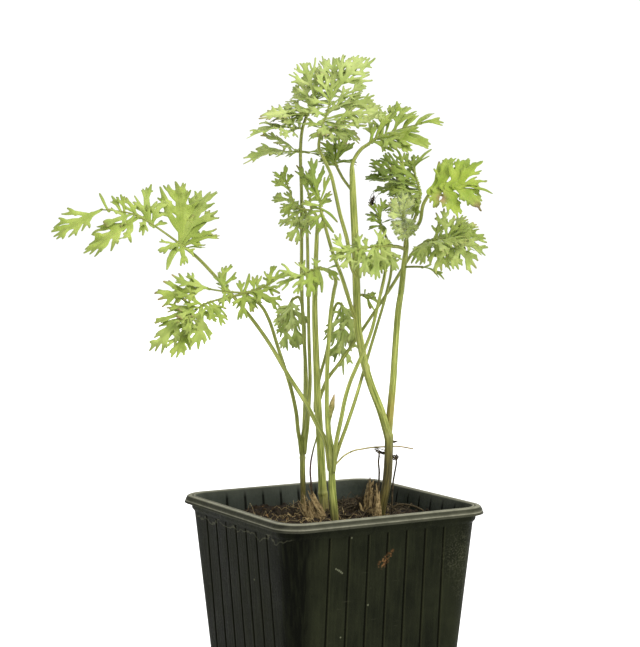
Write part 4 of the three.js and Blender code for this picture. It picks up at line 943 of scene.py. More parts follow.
def flow(points, spines):
    """How far points lie outside a leaflet: -log(sum of exp(-k g)) / k over its spines, where g is the
    distance to a spine less its half width, and k is SOFTNESS. Also gives the way out, each spine's
    share in a point, how far along the spine it lies, and how far off its line."""
    a, step = spines[:, :-1], np.diff(spines, axis=1)
    from_a = points[:, None, None] - a[None, ..., :2]
    q = np.clip((from_a * step[None, ..., :2]).sum(-1) / (step[..., :2] ** 2).sum(-1), 0, 1)
    off = from_a - q[..., None] * step[None, ..., :2]
    far = np.linalg.norm(off, axis=-1)
    gap = far - a[None, ..., 2] - q * step[None, ..., 2]
    pick = gap.argmin(-1)[..., None]
    gap, far_at, q = (np.take_along_axis(t, pick, -1)[..., 0] for t in (gap, far, q))
    off = np.take_along_axis(off, pick[..., None], 2)[:, :, 0]
    least = gap.min(1)
    share = np.exp(-SOFTNESS * (gap - least[:, None]))
    total = share.sum(1)
    share /= total[:, None]
    way = (share[..., None] * off / np.maximum(far_at, 1e-6)[..., None]).sum(1)
    return least - np.log(total) / SOFTNESS, way, share, (pick[..., 0] + q) / (SPINE_POINTS - 1), far_at


def rim_of(faces):
    """The directed edges that have a face on one side only."""
    edges = np.vstack([faces[:, [0, 1]], faces[:, [1, 2]], faces[:, [2, 0]]])
    count = faces.max() + 1
    key, mirrored = edges[:, 0] * count + edges[:, 1], edges[:, 1] * count + edges[:, 0]
    return edges[~np.isin(key, mirrored)]


def wall_of(rim, count):
    """Quads between the rim of one skin and that of a second skin, whose points come count later."""
    return np.stack([rim[:, 0], rim[:, 0] + count, rim[:, 1] + count, rim[:, 1]], -1)


def packed(spots, faces):
    """Only the points that the faces use, numbered anew."""
    used, faces = np.unique(faces, return_inverse=True)
    return spots[used], faces.reshape(-1, 3)


def lattice(low, high):
    """Rows of points LATTICE apart, every second row half a step aside, and the triangles between them."""
    rows, columns = (int(n) + 2 for n in ((high - low) / [LATTICE, LATTICE * ROW])[::-1])
    r, c = np.mgrid[:rows, :columns]
    spots = (low + LATTICE * np.stack([c + 0.5 * (r % 2), ROW * r], -1)).reshape(-1, 2)
    n = (r * columns + c)[:-1, :-1]
    even = (r[:-1, :-1] % 2 == 0)[..., None]
    up = n + columns
    first = np.where(even, np.stack([n, n + 1, up], -1), np.stack([n, up + 1, up], -1))
    second = np.where(even, np.stack([n + 1, up + 1, up], -1), np.stack([n, n + 1, up + 1], -1))
    return spots, np.vstack([first.reshape(-1, 3), second.reshape(-1, 3)])


def trimmed(spines):
    """The flat leaflet: a lattice of triangles cut to the area, with its rim moved onto the outline."""
    spare = spines[..., 2].max() + LATTICE
    spots, faces = lattice(spines[..., :2].min((0, 1)) - spare, spines[..., :2].max((0, 1)) + spare)
    outside = flow(spots, spines)[0]
    faces = faces[outside[faces].mean(1) < 0]
    pinched = np.bincount(rim_of(faces)[:, 0], minlength=len(spots)) > 1
    spots, faces = packed(spots, faces[~pinched[faces].any(1)])
    rim = np.unique(rim_of(faces))
    for _ in range(PULLS):
        out, way = flow(spots[rim], spines)[:2]
        spots[rim] -= np.clip(out, -FARTHEST_PULL, FARTHEST_PULL)[:, None] * way
    return spots, faces


# %% [markdown]
# Under the finger a mugwort leaf is soft: green and faintly furrowed above, with white down below. The
# young top leaf is silvery on both sides. One material serves all blades, and the marks on each mesh
# say where the veins, the margins, the underside and the greyed or browned tips are.

# %% The look of the leaves
leaf_finish, tree, shader, where = finish_of("cut_leaf", 0.6, 0.25)
patches = spread(tree, grain(tree, where, 140), 0.3, 0.7)
fine = grain(tree, where, 1500, 4.0, 0.7)
fresh = mixed(tree, patches, ink(112, 130, 40), ink(158, 170, 84))
pale = mixed(tree, patches, ink(156, 172, 92), ink(188, 196, 130))
deep = mixed(tree, patches, ink(68, 90, 12), ink(106, 124, 32))
sunny = mixed(tree, patches, ink(114, 138, 10), ink(142, 160, 36))
dead = mixed(tree, patches, ink(66, 52, 28), ink(150, 118, 82))
upper = mixed(tree, mark(tree, "pale"), fresh, pale)
upper = mixed(tree, mark(tree, "deep"), upper, deep)
upper = mixed(tree, scaled(tree, mark(tree, "core"), 0.45), upper, deep)
upper = mixed(tree, scaled(tree, mark(tree, "vein"), 0.4), upper, ink(156, 170, 78))
upper = mixed(tree, scaled(tree, mark(tree, "margin"), 0.25), upper, ink(152, 166, 74))
upper = mixed(tree, mark(tree, "sunny"), upper, sunny)
down = mixed(tree, spread(tree, fine, 0.4, 0.65), ink(144, 162, 76), ink(178, 190, 116))
down = mixed(tree, scaled(tree, mark(tree, "vein"), 0.6), down, ink(160, 168, 108))
down = mixed(tree, scaled(tree, mark(tree, "deep"), 0.6), down, ink(78, 94, 42))
skin = mixed(tree, mark(tree, "upper"), down, upper)
skin = mixed(tree, scaled(tree, mark(tree, "tip"), 0.6), skin, ink(86, 94, 46))
skin = mixed(tree, mark(tree, "brown"), skin, dead)
coloured(tree, shader, skin)
shader.inputs["Subsurface Weight"].default_value = 0.12
shader.inputs["Subsurface Radius"].default_value = (0.6, 1.0, 0.25)
shader.inputs["Subsurface Scale"].default_value = 0.6 * MM
shader.inputs["Sheen Weight"].default_value = 0.08
shader.inputs["Sheen Roughness"].default_value = 0.5
bumped(tree, shader, fine, 0.12 * MM)

# %% [markdown]
# Leaves on one mugwort are cut differently: the low ones are broad, the young ones feathery, and those
# in the shade hang limp. So a cut is a handful of shares of a leaflet's length, an everyday one serves
# most leaves, and the others say only where they differ. A tooth is its side, its place on the finger,
# its length and the least finger that carries it.

# %% How each leaf is cut
FEW_TEETH = ((1, 0.5, 0.4, 4.5),)
MANY_TEETH = ((1, 0.4, 0.45, 2.6), (-1, 0.55, 0.4, 3.6))
EVERYDAY = {"foot": 0.45, "web": 0.065, "finger": 0.055, "reach": 0.5, "lean": 40, "lone": 0.07,
            "stalk": 0.3, "step": 3.2, "teeth": FEW_TEETH}
FEATHERY = EVERYDAY | {"web": 0.045, "finger": 0.036, "lean": 42, "teeth": MANY_TEETH, "step": 3.0}
SLENDER = EVERYDAY | {"web": 0.08, "finger": 0.042, "reach": 0.42, "lean": 36, "stalk": 0.2, "step": 2.4}
HANGING = EVERYDAY | {"web": 0.035, "finger": 0.038, "lean": 46, "stalk": 0.16, "step": 4.6,
                      "teeth": MANY_TEETH}
CUTS = {
    "leaf_right_bright": EVERYDAY | {"foot": 2.4, "web": 0.15, "finger": 0.066, "reach": 0.46, "lean": 31,
                                     "stalk": 0.2},
    "leaf_right_low": EVERYDAY | {"foot": 0.8, "web": 0.075},
    "leaf_centre": EVERYDAY | {"foot": 0.8, "web": 0.09},
    "leaf_mid_low": EVERYDAY | {"foot": 0.8, "web": 0.1},
    "leaf_low_left": EVERYDAY | {"foot": 0.55, "web": 0.085, "stalk": 0.16, "step": 4.0},
    "leaf_far_left": EVERYDAY | {"foot": 0.6, "web": 0.085, "finger": 0.05, "stalk": 0.18, "lean": 34,
                                 "step": 4.4},
    "leaf_right_upper": EVERYDAY | {"foot": 0.55, "finger": 0.06, "lean": 30, "lone": 0.13, "step": 4.6},
    "leaf_hang_left": HANGING | {"finger": 0.047, "reach": 0.46},
    "leaf_hang_right": HANGING | {"reach": 0.42},
}
CUTS |= dict.fromkeys(
    ["leaf_top_left", "leaf_top_right", "leaf_mid_left", "leaf_right_dark", "shoot_tip"], FEATHERY)
print("leaves with a cut of their own:", len(CUTS))

# %% [markdown]
# The photo shows leaves that are fuller than their main leaflets make them. Two tables add to the plant:
# FULL is about how many smaller leaflets grow beside each one, and MORE holds whole leaflets, written
# as in the leaves' own table. The tints are shares of the pale, the deep and the sunny green.

# %% How full and how tinted each leaf is
FULL = {
    "leaf_top_left": 1.6, "leaf_top_right": 1.0, "shoot_tip": 3.5, "leaf_right_dark": 2.0,
    "leaf_right_low": 2.6, "leaf_centre": 2.6, "leaf_centre_dark": 2.4, "leaf_mid_left": 2.3,
    "leaf_mid_upper": 1.6, "leaf_mid_dark": 1.6, "leaf_mid_low": 1.7, "leaf_low_left": 1.2,
    "leaf_far_left": 0.6, "leaf_right_upper": 1.0, "leaf_dark_small": 2.0, "leaf_hang_left": 1.5,
    "leaf_hang_right": 0.8, "leaf_under_centre": 1.5, "leaf_small_back": 2.2,
}
MORE = {
    "leaf_top_right": [
        [4, -9.9, 2, 249.9, 2], [9, -11.5, 0, 244.5, 2], [14, -11, -1, 239.5, 2], [3, -7, 6, 255.5, 2],
        [8, 8, -2, 248, 2], [12, 9, -5, 241, 2], [15, -9, 2, 233, 2], [16, 6, -7, 233.5, 2],
    ],
    "leaf_small_back": [[0.5, 17.5, 4, 174.8, 2], [1, 15.4, 2, 168.8, 1]],
    "leaf_right_dark": [
        [11, 26.5, 3, 208.5, 2], [13.5, 30, 4, 205, 2], [14, 20.6, 3, 206.5, 2], [9, 17, 9, 214, 2],
    ],
    "shoot_tip": [[3.8, 27, -9, 194.8, 2], [3.8, 31.8, -9, 197, 2], [4, 23.4, -8, 200.6, 1]],
    "leaf_top_left": [
        [1, -3.5, 12, 256, 2], [5, -17, 6, 240, 2], [4, -2.5, 9, 247.5, 2], [2, -13, 13, 258, 2],
    ],
}
# leaf_hang_left is made this pale partly as painted light, to make up for the shade it hangs in.
PALE = {
    "leaf_top_left": 0.75, "leaf_top_right": 0.65, "shoot_tip": 1.0, "leaf_right_low": 0.45,
    "leaf_centre": 0.3, "leaf_mid_left": 0.5, "leaf_mid_low": 0.3, "leaf_small_back": 0.2,
    "leaf_hang_left": 0.9, "leaf_hang_right": 0.8,
}
DEEP = {
    "leaf_mid_dark": 0.65, "leaf_mid_upper": 0.4, "leaf_centre_dark": 0.75, "leaf_right_dark": 0.62,
    "leaf_dark_small": 0.8, "leaf_mid_left": 0.05,
}
SUNNY = {
    "leaf_right_bright": 0.6, "leaf_right_upper": 0.15, "leaf_mid_low": 0.15, "leaf_far_left": 0.1,
    "leaf_low_left": 0.1,
}
EVERYDAY_PALE = 0.1
BROWN_SPOTS = {
    "leaf_right_bright": [[40.9, 210.8], [53.5, 207.0], [55.5, 205.5]], "leaf_dark_small": [[14.6, 211.0]],
}
BROWN_REACH = 2.0
print("leaflets added to the leaves' table:", sum(len(added) for added in MORE.values()))

# %% [markdown]
# A leaflet is a thin closed sheet: an upper skin, a lower skin and a wall round the rim. A flat sheet
# would look like paper, so it folds up a little along its middle vein, its fingers lift or droop, its
# margins turn down, and the veins are sunk above and raised below. These heights are all in mm.

# %% One leaflet's sheet
THICK, EDGE_THIN, EDGE_SPAN = 0.3, 0.35, 0.3
FOLD, ROLL, TWIST, LIFT = (0.15, 0.16), (0, 0.28), 0.25, 0.14
FOLD_SOFT = 0.3
RIPPLE, RIPPLE_PITCH = 0.12, 1.1
MARGIN_DOWN, MARGIN_SPAN = 0.14, 0.35
VEIN_WIDE, VEIN_SUNK, VEIN_RAISED, CORE_WIDE = 0.12, 0.08, 0.1, 1.1


def sheet(foot, end, arch, pairs, cut, pose, rng):
    """One leaflet's closed sheet in its blade's plane. Its line rises as foot + s (end - foot) + 4 arch
    s (1 - s). Off that line the sheet folds up from its middle vein, each finger lifts as its own s
    squared, the margins turn down, and all of it rolls about the line by roll + twist s."""
    length = np.linalg.norm((end - foot)[:2])
    ahead = (end - foot)[:2] / length
    spines, strong = leaflet_spines(length, pairs, cut, rng)
    fold, roll = pose or (rng.normal(*FOLD), rng.normal(*ROLL))
    twist, start = rng.normal(0, TWIST), rng.uniform(0, 6)
    reaches = np.linalg.norm(spines[:, -1, :2] - spines[:, 0, :2], axis=1)
    lifts = rng.normal(0, LIFT, len(spines)) * reaches
    lifts[0] = 0
    flat, faces = trimmed(spines)
    out, _, share, along, off = flow(flat, spines)
    edge = np.maximum(-out, 0)
    beside_vein = np.exp(-((off / (VEIN_WIDE + VEIN_WIDE * strong)) ** 2))
    vein = (strong * beside_vein * (1 - along**4)).max(1)
    x, y = flat[:, 0], flat[:, 1]
    s = np.clip(x / length, 0, 1.05)
    rise = foot[2] + s * (end[2] - foot[2]) + 4 * arch * s * (1 - s)
    height = fold * (np.sqrt(y**2 + FOLD_SOFT) - math.sqrt(FOLD_SOFT)) + (share * lifts * along**2).sum(1)
    ripple = RIPPLE * np.sin(RIPPLE_PITCH * x + start) * np.abs(y) ** 0.5
    height = height + ripple - MARGIN_DOWN * np.exp(-edge / MARGIN_SPAN)
    half = THICK / 2 * (EDGE_THIN + (1 - EDGE_THIN) * (1 - np.exp(-edge / EDGE_SPAN)))
    angle = roll + twist * s
    skins = []
    for level in (height + half - VEIN_SUNK * vein, height - half - VEIN_RAISED * vein):
        across = y * np.cos(angle) - level * np.sin(angle)
        flat_place = foot[:2] + x[:, None] * ahead + across[:, None] * np.array([-ahead[1], ahead[0]])
        skins.append(np.column_stack([flat_place, rise + y * np.sin(angle) + level * np.cos(angle)]))
    count = len(flat)
    ends = (share * along).sum(1)
    marks = {
        "vein": vein,
        "core": np.exp(-((off[:, 0] / CORE_WIDE) ** 2)) * (1 - 0.8 * s),
        "margin": np.exp(-edge / EDGE_SPAN),
        "tip": np.clip(1.6 * ends - 0.7, 0, 1) * rng.uniform(0.2, 1),
        "brown": rng.uniform(0, 1) ** 6 * np.clip(6 * ends - 5.1, 0, 1),
        "tone": np.full(count, rng.uniform(-0.3, 0.3)),
    }
    marks = {key: np.tile(values, 2) for key, values in marks.items()}
    marks["upper"] = np.repeat([1.0, 0.0], count)
    return np.vstack(skins), [faces, faces[:, ::-1] + count, wall_of(rim_of(faces), count)], marks


# %% [markdown]
# A leaf gathers its leaflets' sheets. Each main leaflet starts on its rib and ends where the plant's
# list says; the smaller ones beside it are drawn by chance, and swing out of the leaf's plane. Some
# leaves have a pose of their own, fold and roll, because by chance they would be seen edge on.

# %% All leaflets of a leaf
ARCH_SEED, LEAST_ARCH, ARCH_SPREAD = 7, 0.04, 0.06
BESIDE_SEED = 700
BESIDE_BACK, BESIDE_STEP = 1.2, 0.8
BESIDE_SWING, BESIDE_SIZE, BESIDE_RISE = (0.2, 0.6), (0.5, 0.85), (0.2, 0.5)
BESIDE_ARCH, BESIDE_PAIRS = 0.08, 2
SIDEWAYS = {("leaf_top_left", number): (0.35, -0.12) for number in (4, 6, 8)}
FACING = {
    "leaf_right_bright": (0.12, 0.05), "leaf_far_left": (0.1, 0.05), "leaf_low_left": (0.12, 0.05),
    "leaf_small_back": (0.25, 0.8), "leaf_under_centre": (0.2, 0.3),
}
def draws(state):
    """Repeatable numbers from 0 to 1: the state times 1664525 plus 1013904223, kept within 2 to the 32."""
    while True:
        state = (state * 1664525 + 1013904223) % 2**32
        yield state / 2**32


def unit(vector):
    """v / |v|."""
    return vector / np.linalg.norm(vector)


def plane_of(face):
    """Rows: the level direction in a blade's plane, the one up it, and the plane's normal."""
    normal = unit(place(face))
    right = place([1, 0, 0])
    right = unit(right - (right @ normal) * normal)
    return np.array([right, np.cross(normal, right), normal])


def before_end(line, back):
    """The point that lies a given length before the end of a line of points."""
    turned = line[::-1]
    along = np.concatenate([[0], np.cumsum(np.linalg.norm(np.diff(turned, axis=0), axis=1))])
    return np.array([np.interp(back, along, turned[:, i]) for i in range(3)])


def beside_way(foot, end, rng):
    """The length and the way of a smaller leaflet beside another: the way from foot to end turned aside
    in the blade's plane, made shorter, and lifted or lowered."""
    swing = rng.choice([-1, 1]) * rng.uniform(*BESIDE_SWING)
    turned = np.array([[math.cos(swing), math.sin(swing)], [-math.sin(swing), math.cos(swing)]])
    flat = rng.uniform(*BESIDE_SIZE) * (end - foot)[:2] @ turned
    length = np.linalg.norm(flat)
    return length, np.append(flat, rng.choice([-1, 1]) * rng.uniform(*BESIDE_RISE) * length)


arch_draws = draws(ARCH_SEED)


def sheets_of(name, leaf, rng):
    """All leaflets of a leaf: those that the plant's list names, and beside some of them a smaller one
    that starts from the same rib and swings out of the leaf's plane, which makes the leaf full."""
    found, beside = [], []
    extra = np.random.default_rng(BESIDE_SEED + len(name))
    added = MORE.get(name, [])
    for blade in leaf["blades"]:
        axes = plane_of(blade["face"])
        for branch in blade["branches"]:
            line = place(branch["rib"])
            for back, *tip, pairs in branch["leaflets"] + ([] if found else added):
                foot, end = axes @ before_end(line, back), axes @ place(tip)
                arch = (LEAST_ARCH + ARCH_SPREAD * next(arch_draws)) * np.linalg.norm((end - foot)[:2])
                pose = SIDEWAYS.get((name, len(found) - len(added)))
                cut = SLENDER if pose else CUTS.get(name, EVERYDAY)
                pose = pose or FACING.get(name)
                points, faces, marks = sheet(foot, end, arch, pairs, cut, pose, rng)
                found.append((points @ axes, faces, marks))
                for again in range(int(FULL.get(name, 0.0) * (pairs > 0) + extra.uniform())):
                    foot = axes @ before_end(line, back + BESIDE_BACK + BESIDE_STEP * again)
                    beside.append((axes, foot, end, min(pairs, BESIDE_PAIRS), cut))
    for axes, foot, end, pairs, cut in beside:
        length, way = beside_way(foot, end, extra)
        points, faces, marks = sheet(foot, foot + way, BESIDE_ARCH * length, pairs, cut, None, rng)
        found.append((points @ axes, faces, marks))
    return found


# %% [markdown]
# A petiole is grooved along its upper side and carries the ribs that the leaflets sit on. It could be
# part of the blade's mesh, but it has the stem's skin, so petiole and ribs are a piece of their own. The
# petiole starts a little inside the stem and is thinner there, so that it seems to grow out of it.

# %% Blades and petioles
PETIOLE_ROUND, PETIOLE_STEPS, RIB_STEPS = 14, 6, 5
SUNK_BACK, SUNK_DOWN = 1.6, 3.2
FOOT_THINNER, FOOT_ROWS = 0.5, 3.5
RIB_FROM, RIB_TO = 0.85, 0.24
FOOT_RING, FOOT_RING_REACH = 0.25, 3.0
FOOT_BLUSH, FOOT_BLUSH_REACH = 0.2, 12.0


def groove(t, a):
    """A petiole's outline: 1 - 0.16 exp(-((a - 90 degrees) / 0.5)^2) + 0.03 cos 5a."""
    return 1 - 0.16 * np.exp(-(((a - np.pi / 2) / 0.5) ** 2)) + 0.03 * np.cos(5 * a) + 0 * t


def blade_of(name, leaf, rng):
    """All leaflets of a leaf as one piece, with the leaf's tints among its marks."""
    points, faces, marks = gathered(sheets_of(name, leaf, rng))
    tone = marks.pop("tone")
    marks["pale"] = np.clip(PALE.get(name, EVERYDAY_PALE) + tone, 0, 1)
    marks["deep"] = np.clip(DEEP.get(name, 0.0) + tone, 0, 1)
    marks["sunny"] = np.full(len(points), SUNNY.get(name, 0.0))
    seen = np.column_stack([points[:, :2] @ place([1, 0, 0])[:2], points[:, 2]])
    browned = near(seen, BROWN_SPOTS.get(name, []), BROWN_REACH)
    marks["brown"] = np.clip(marks["brown"] + browned, 0, 1)
    walls = tuple(range(2, len(faces), 3))
    return piece("blade_" + name.replace("leaf_", ""), points, faces, leaf_finish, [name], "leaf_green",
                 marks, walls)


def petiole_of(name, leaf, blushes):
    """A leaf's petiole and ribs as one piece: tubes whose radius falls evenly to the tip. The petiole's
    is also multiplied by 1 - 0.5 exp(-row / 3.5), so it is thinnest where it leaves the stem."""
    first, last = leaf["radius"]
    start = place(leaf["petiole"])
    sunk = start[0] + SUNK_BACK * unit(start[0] - start[1]) - [0, 0, SUNK_DOWN]
    route = smooth_route(np.vstack([sunk, start]), PETIOLE_STEPS)
    thinned = 1 - FOOT_THINNER * np.exp(-np.arange(len(route)) / FOOT_ROWS)
    tubes = [stalk(route, np.linspace(first, last, len(route)) * thinned, PETIOLE_ROUND, groove)]
    for blade in leaf["blades"]:
        for branch in blade["branches"]:
            rib = smooth_route(place(branch["rib"]), RIB_STEPS)
            tubes.append(stalk(rib, np.linspace(RIB_FROM * last, RIB_TO, len(rib)), PETIOLE_ROUND, groove))
    points, faces, marks = gathered(tubes)
    marks["ring"] = FOOT_RING * near(points, route[:1], FOOT_RING_REACH)
    marks["earth"] = np.zeros(len(points))
    marks["blush"] = FOOT_BLUSH * near(points, route[:1], FOOT_BLUSH_REACH) * blushes
    return piece("petiole_" + name.replace("leaf_", ""), points, faces, stem_finish, [name], "stem_green",
                 marks)


# %% The leaves
LEAF_SEED = 100
BLUSH_EVERY = 3

for number, (name, leaf) in enumerate(LEAVES.items()):
    blade_of(name, leaf, np.random.default_rng(LEAF_SEED + number))
    petiole_of(name, leaf, number % BLUSH_EVERY == 0)

# %% [markdown]
# The pot is black moulded plastic, but in the light it is a dull olive grey: cloudy, drawn upwards by
# the mould, scuffed level where pots rub, and dusty. Along the rim it is paler, which stands for wear
# and for a painted highlight, most on the front side that faces the lamp. Painted shade darkens the near
# corner, the left side below the rim and the grooves, and a painted highlight runs beside each groove.
# These are noises on the object's own place, and where a mark sits at one spot it is a distance from
# that spot.

# %% The bare plastic
def spot(tree, where, centre, reach):
    """1 at a place on the object that falls evenly to 0 at a distance, both given in mm."""
    gap = add(tree, "VectorMath", [(0, where), (1, tuple(MM * v for v in centre))], operation="DISTANCE")
    return spread(tree, gap.outputs["Value"], 0.0, MM * reach, 1.0, 0.0)


def spots(tree, where, centres):
    """The largest of several spots, each given as x, y, z and reach."""
    found = 0.0
    for *centre, reach in centres:
        found = counted(tree, "MAXIMUM", found, spot(tree, where, centre, reach))
    return found


DRAWN_UP, DRAWN_LEVEL = (1.0, 1.0, 0.04), (0.05, 0.05, 1.0)

pot_finish, tree, shader, where = finish_of("black_pot_plastic", 0.45, 0.3)
shader.inputs["IOR"].default_value = 1.1
upright = add(tree, "Mapping", [("Vector", where), ("Scale", DRAWN_UP)]).outputs[0]
level = add(tree, "Mapping", [("Vector", where), ("Scale", DRAWN_LEVEL)]).outputs[0]
cloudy = spread(tree, grain(tree, where, 45, 5.0, 0.6), 0.35, 0.7)
drawn = spread(tree, grain(tree, upright, 700, 2.0), 0.45, 0.75)
skin = mixed(tree, cloudy, ink(17, 19, 11), ink(32, 34, 22))
# Painted shade: a darker colour where the shade mark is set, on the near corner and the left side.
skin = mixed(tree, mark(tree, "shade"), skin, ink(9, 10, 6))
skin = mixed(tree, scaled(tree, drawn, 0.3), skin, ink(40, 43, 27))
skin = mixed(tree, mark(tree, "inner"), skin, mixed(tree, cloudy, ink(36, 40, 34), ink(70, 74, 66)))
# Painted shade darkens the grooves, and the edge mark is a painted highlight beside one side of each.
skin = mixed(tree, scaled(tree, mark(tree, "groove"), 0.85), skin, ink(6, 6, 3))
skin = mixed(tree, scaled(tree, mark(tree, "edge"), 0.45), skin, ink(54, 56, 38))
print("nodes in the bare plastic:", len(tree.nodes))

# %% Scuffs, dust, rim wear with a painted highlight, a wavy line, scratches and a smear
DUST_SPOTS = [[34, -40.4, 77, 13], [37, -39.5, 66, 9]]
WAVE_Z, WAVE_SWAY, WAVE_FULL, WAVE_GONE = 90.3, 5, 0.1, 0.35
WAVE_TO_X, WAVE_ENDS_X = -40, -38
SCRATCHES = [
    [-15.5, -41.4, 88.0, 0.5], [-7.3, -39.2, 62.2, 0.55], [-18.4, -38.3, 51.3, 0.5],
    [-39.9, -12, 70, 0.5], [-21.6, -40.5, 77.1, 0.5], [-20.9, -40.5, 76.7, 0.5],
    [-20.2, -40.5, 76.3, 0.6], [-19.5, -40.4, 75.8, 0.6], [-18.9, -40.4, 75.3, 0.5],
]
SMEAR_SPOTS = [
    [-2.2, -40.6, 76.8, 2.3], [-0.6, -40.7, 78.3, 2.1], [0.9, -40.8, 80.0, 1.5], [2.2, -40.9, 81.6, 1.0],
]

scuffed = spread(tree, grain(tree, level, 1900, 3.0), 0.69, 0.76)
scuffed = scaled(tree, scuffed, spread(tree, grain(tree, where, 60), 0.5, 0.68))
skin = mixed(tree, scaled(tree, scuffed, 0.4), skin, ink(84, 84, 66))
dusty = spread(tree, grain(tree, where, 1400, 4.0, 0.7), 0.5, 0.62)
dust = scaled(tree, spots(tree, where, DUST_SPOTS), dusty)
skin = mixed(tree, scaled(tree, dust, 0.5), skin, ink(80, 80, 62))
# The rim's bead, ridge and lip are made paler: partly wear, partly a painted highlight, stronger on the front
# side that faces the lamp.
wear_and_highlight_patches = spread(tree, grain(tree, where, 260, 3.0), 0.3, 0.6, 0.7, 1.0)
skin = mixed(tree, scaled(tree, mark(tree, "rim_wear_and_highlight"), wear_and_highlight_patches), skin, ink(122, 121, 104))
apart = add(tree, "SeparateXYZ", [(0, where)])
sway = scaled(tree, spread(tree, grain(tree, where, 120, 3.0), 0.3, 0.7), WAVE_SWAY * MM)
off_line = counted(tree, "ADD", counted(tree, "ADD", apart.outputs["Z"], sway), -WAVE_Z * MM)
off_line = counted(tree, "ABSOLUTE", off_line)
line = spread(tree, off_line, WAVE_FULL * MM, WAVE_GONE * MM, 1.0, 0.0)
on_left = spread(tree, apart.outputs["X"], WAVE_TO_X * MM, WAVE_ENDS_X * MM, 1.0, 0.0)
line = scaled(tree, line, on_left)
skin = mixed(tree, scaled(tree, line, 0.4), skin, ink(88, 88, 70))
scratched = spread(tree, spots(tree, where, SCRATCHES), 0.1, 0.7, 0.0, 0.8)
skin = mixed(tree, scratched, skin, ink(96, 98, 78))
smeared = spread(tree, spots(tree, where, SMEAR_SPOTS), 0.1, 0.5)
smeared = scaled(tree, smeared, spread(tree, grain(tree, where, 700, 4.0), 0.42, 0.54))
skin = mixed(tree, smeared, skin, mixed(tree, dusty, ink(58, 40, 22), ink(106, 78, 48)))
coloured(tree, shader, skin)
tree.links.new(spread(tree, cloudy, 0.0, 1.0, 0.38, 0.55), shader.inputs["Roughness"])
bumped(tree, shader, counted(tree, "ADD", drawn, dusty), 0.06 * MM)

# %% [markdown]
# The pot is one thin wall. Its section is a closed line of half-widths and heights: up the outside, over
# the rim with its two fine ridges, down the inside. That line is carried round a square with rounded
# corners, so every point is (half - r) corner + r normal.

# %% The pot's section
WALL_TOP_HALF = 41.5
WALL_TOP_Z = 88.7
WALL_SLOPE = 0.085
WALL = 1.2
FLOOR = 1.6
ROUNDING, LONGEST_EDGE = 0.22, 4.0


def wall_half(z):
    """The outer wall's half-width: 41.5 - 0.085 (88.7 - z)."""
    return WALL_TOP_HALF - WALL_SLOPE * (WALL_TOP_Z - z)


POT_SECTION = np.array([
    [wall_half(0) - 1.2, 0], [wall_half(1.2), 1.2], [WALL_TOP_HALF, WALL_TOP_Z], [42.4, 89.9], [42.6, 91.7],
    [44.2, 91.92], [44.97, 91.95], [44.97, 92.5], [44.66, 92.75], [44.78, 93.05], [44.5, 94.0], [44.26, 94.2],
    [44.36, 94.45], [43.9, 94.97], [42.5, 94.97], [42.05, 94.5], [41.85, 94.97], [41.5, 94.97], [41.2, 94.5],
    [WALL_TOP_HALF - WALL, WALL_TOP_Z], [wall_half(FLOOR) - WALL, FLOOR], [wall_half(0) - 2.5, 0],
])


def rounded(section, cut):
    """Each corner p of a closed line becomes a small bow: (1-t)^2 a + 2t(1-t) p + t^2 b at t = 0, 1/2, 1."""
    back, ahead = np.roll(section, 1, axis=0) - section, np.roll(section, -1, axis=0) - section
    trims = [np.minimum(cut / np.linalg.norm(side, axis=1), 0.4)[:, None] for side in (back, ahead)]
    a, b = section + back * trims[0], section + ahead * trims[1]
    return np.stack([a, (a + 2 * section + b) / 4, b], 1).reshape(-1, 2)


def divided(section, longest):
    """Extra points on the closed line's edges, so that none is longer than that."""
    following = np.roll(section, -1, axis=0)
    counts = np.ceil(np.linalg.norm(following - section, axis=1) / longest).astype(int)
    which = np.repeat(np.arange(len(section)), counts)
    share = (np.arange(len(which)) - np.repeat(np.cumsum(counts) - counts, counts)) / counts[which]
    return section[which] + share[:, None] * (following - section)[which]


section = divided(rounded(POT_SECTION, ROUNDING), LONGEST_EDGE)
print("points in the pot's section:", len(section))

# %% [markdown]
# Each side of the pot has seven upright grooves. A boolean could cut them, but pressing them into the
# faces keeps the mesh clean. For that the square's columns lie where the grooves' edges are, and each
# column knows how far it is from the nearest groove's middle.

# %% The columns round the pot
CORNER, RIM_CORNER = 8.0, 10.0
GROOVES = 7
GROOVE_PITCH = 8.2
GROOVE_HALF = 0.6
GROOVE_COLUMNS = GROOVE_HALF * np.array([-1.6, -1.05, -0.7, -0.35, -0.12, 0.12, 0.35, 0.7, 1.05, 1.6])
OUTMOST = (GROOVES - 1) / 2 * GROOVE_PITCH + 1.6 * GROOVE_HALF
FAR_OFF = 9.0
CORNER_COLUMNS = 12
CORNER_ROOM = 0.3


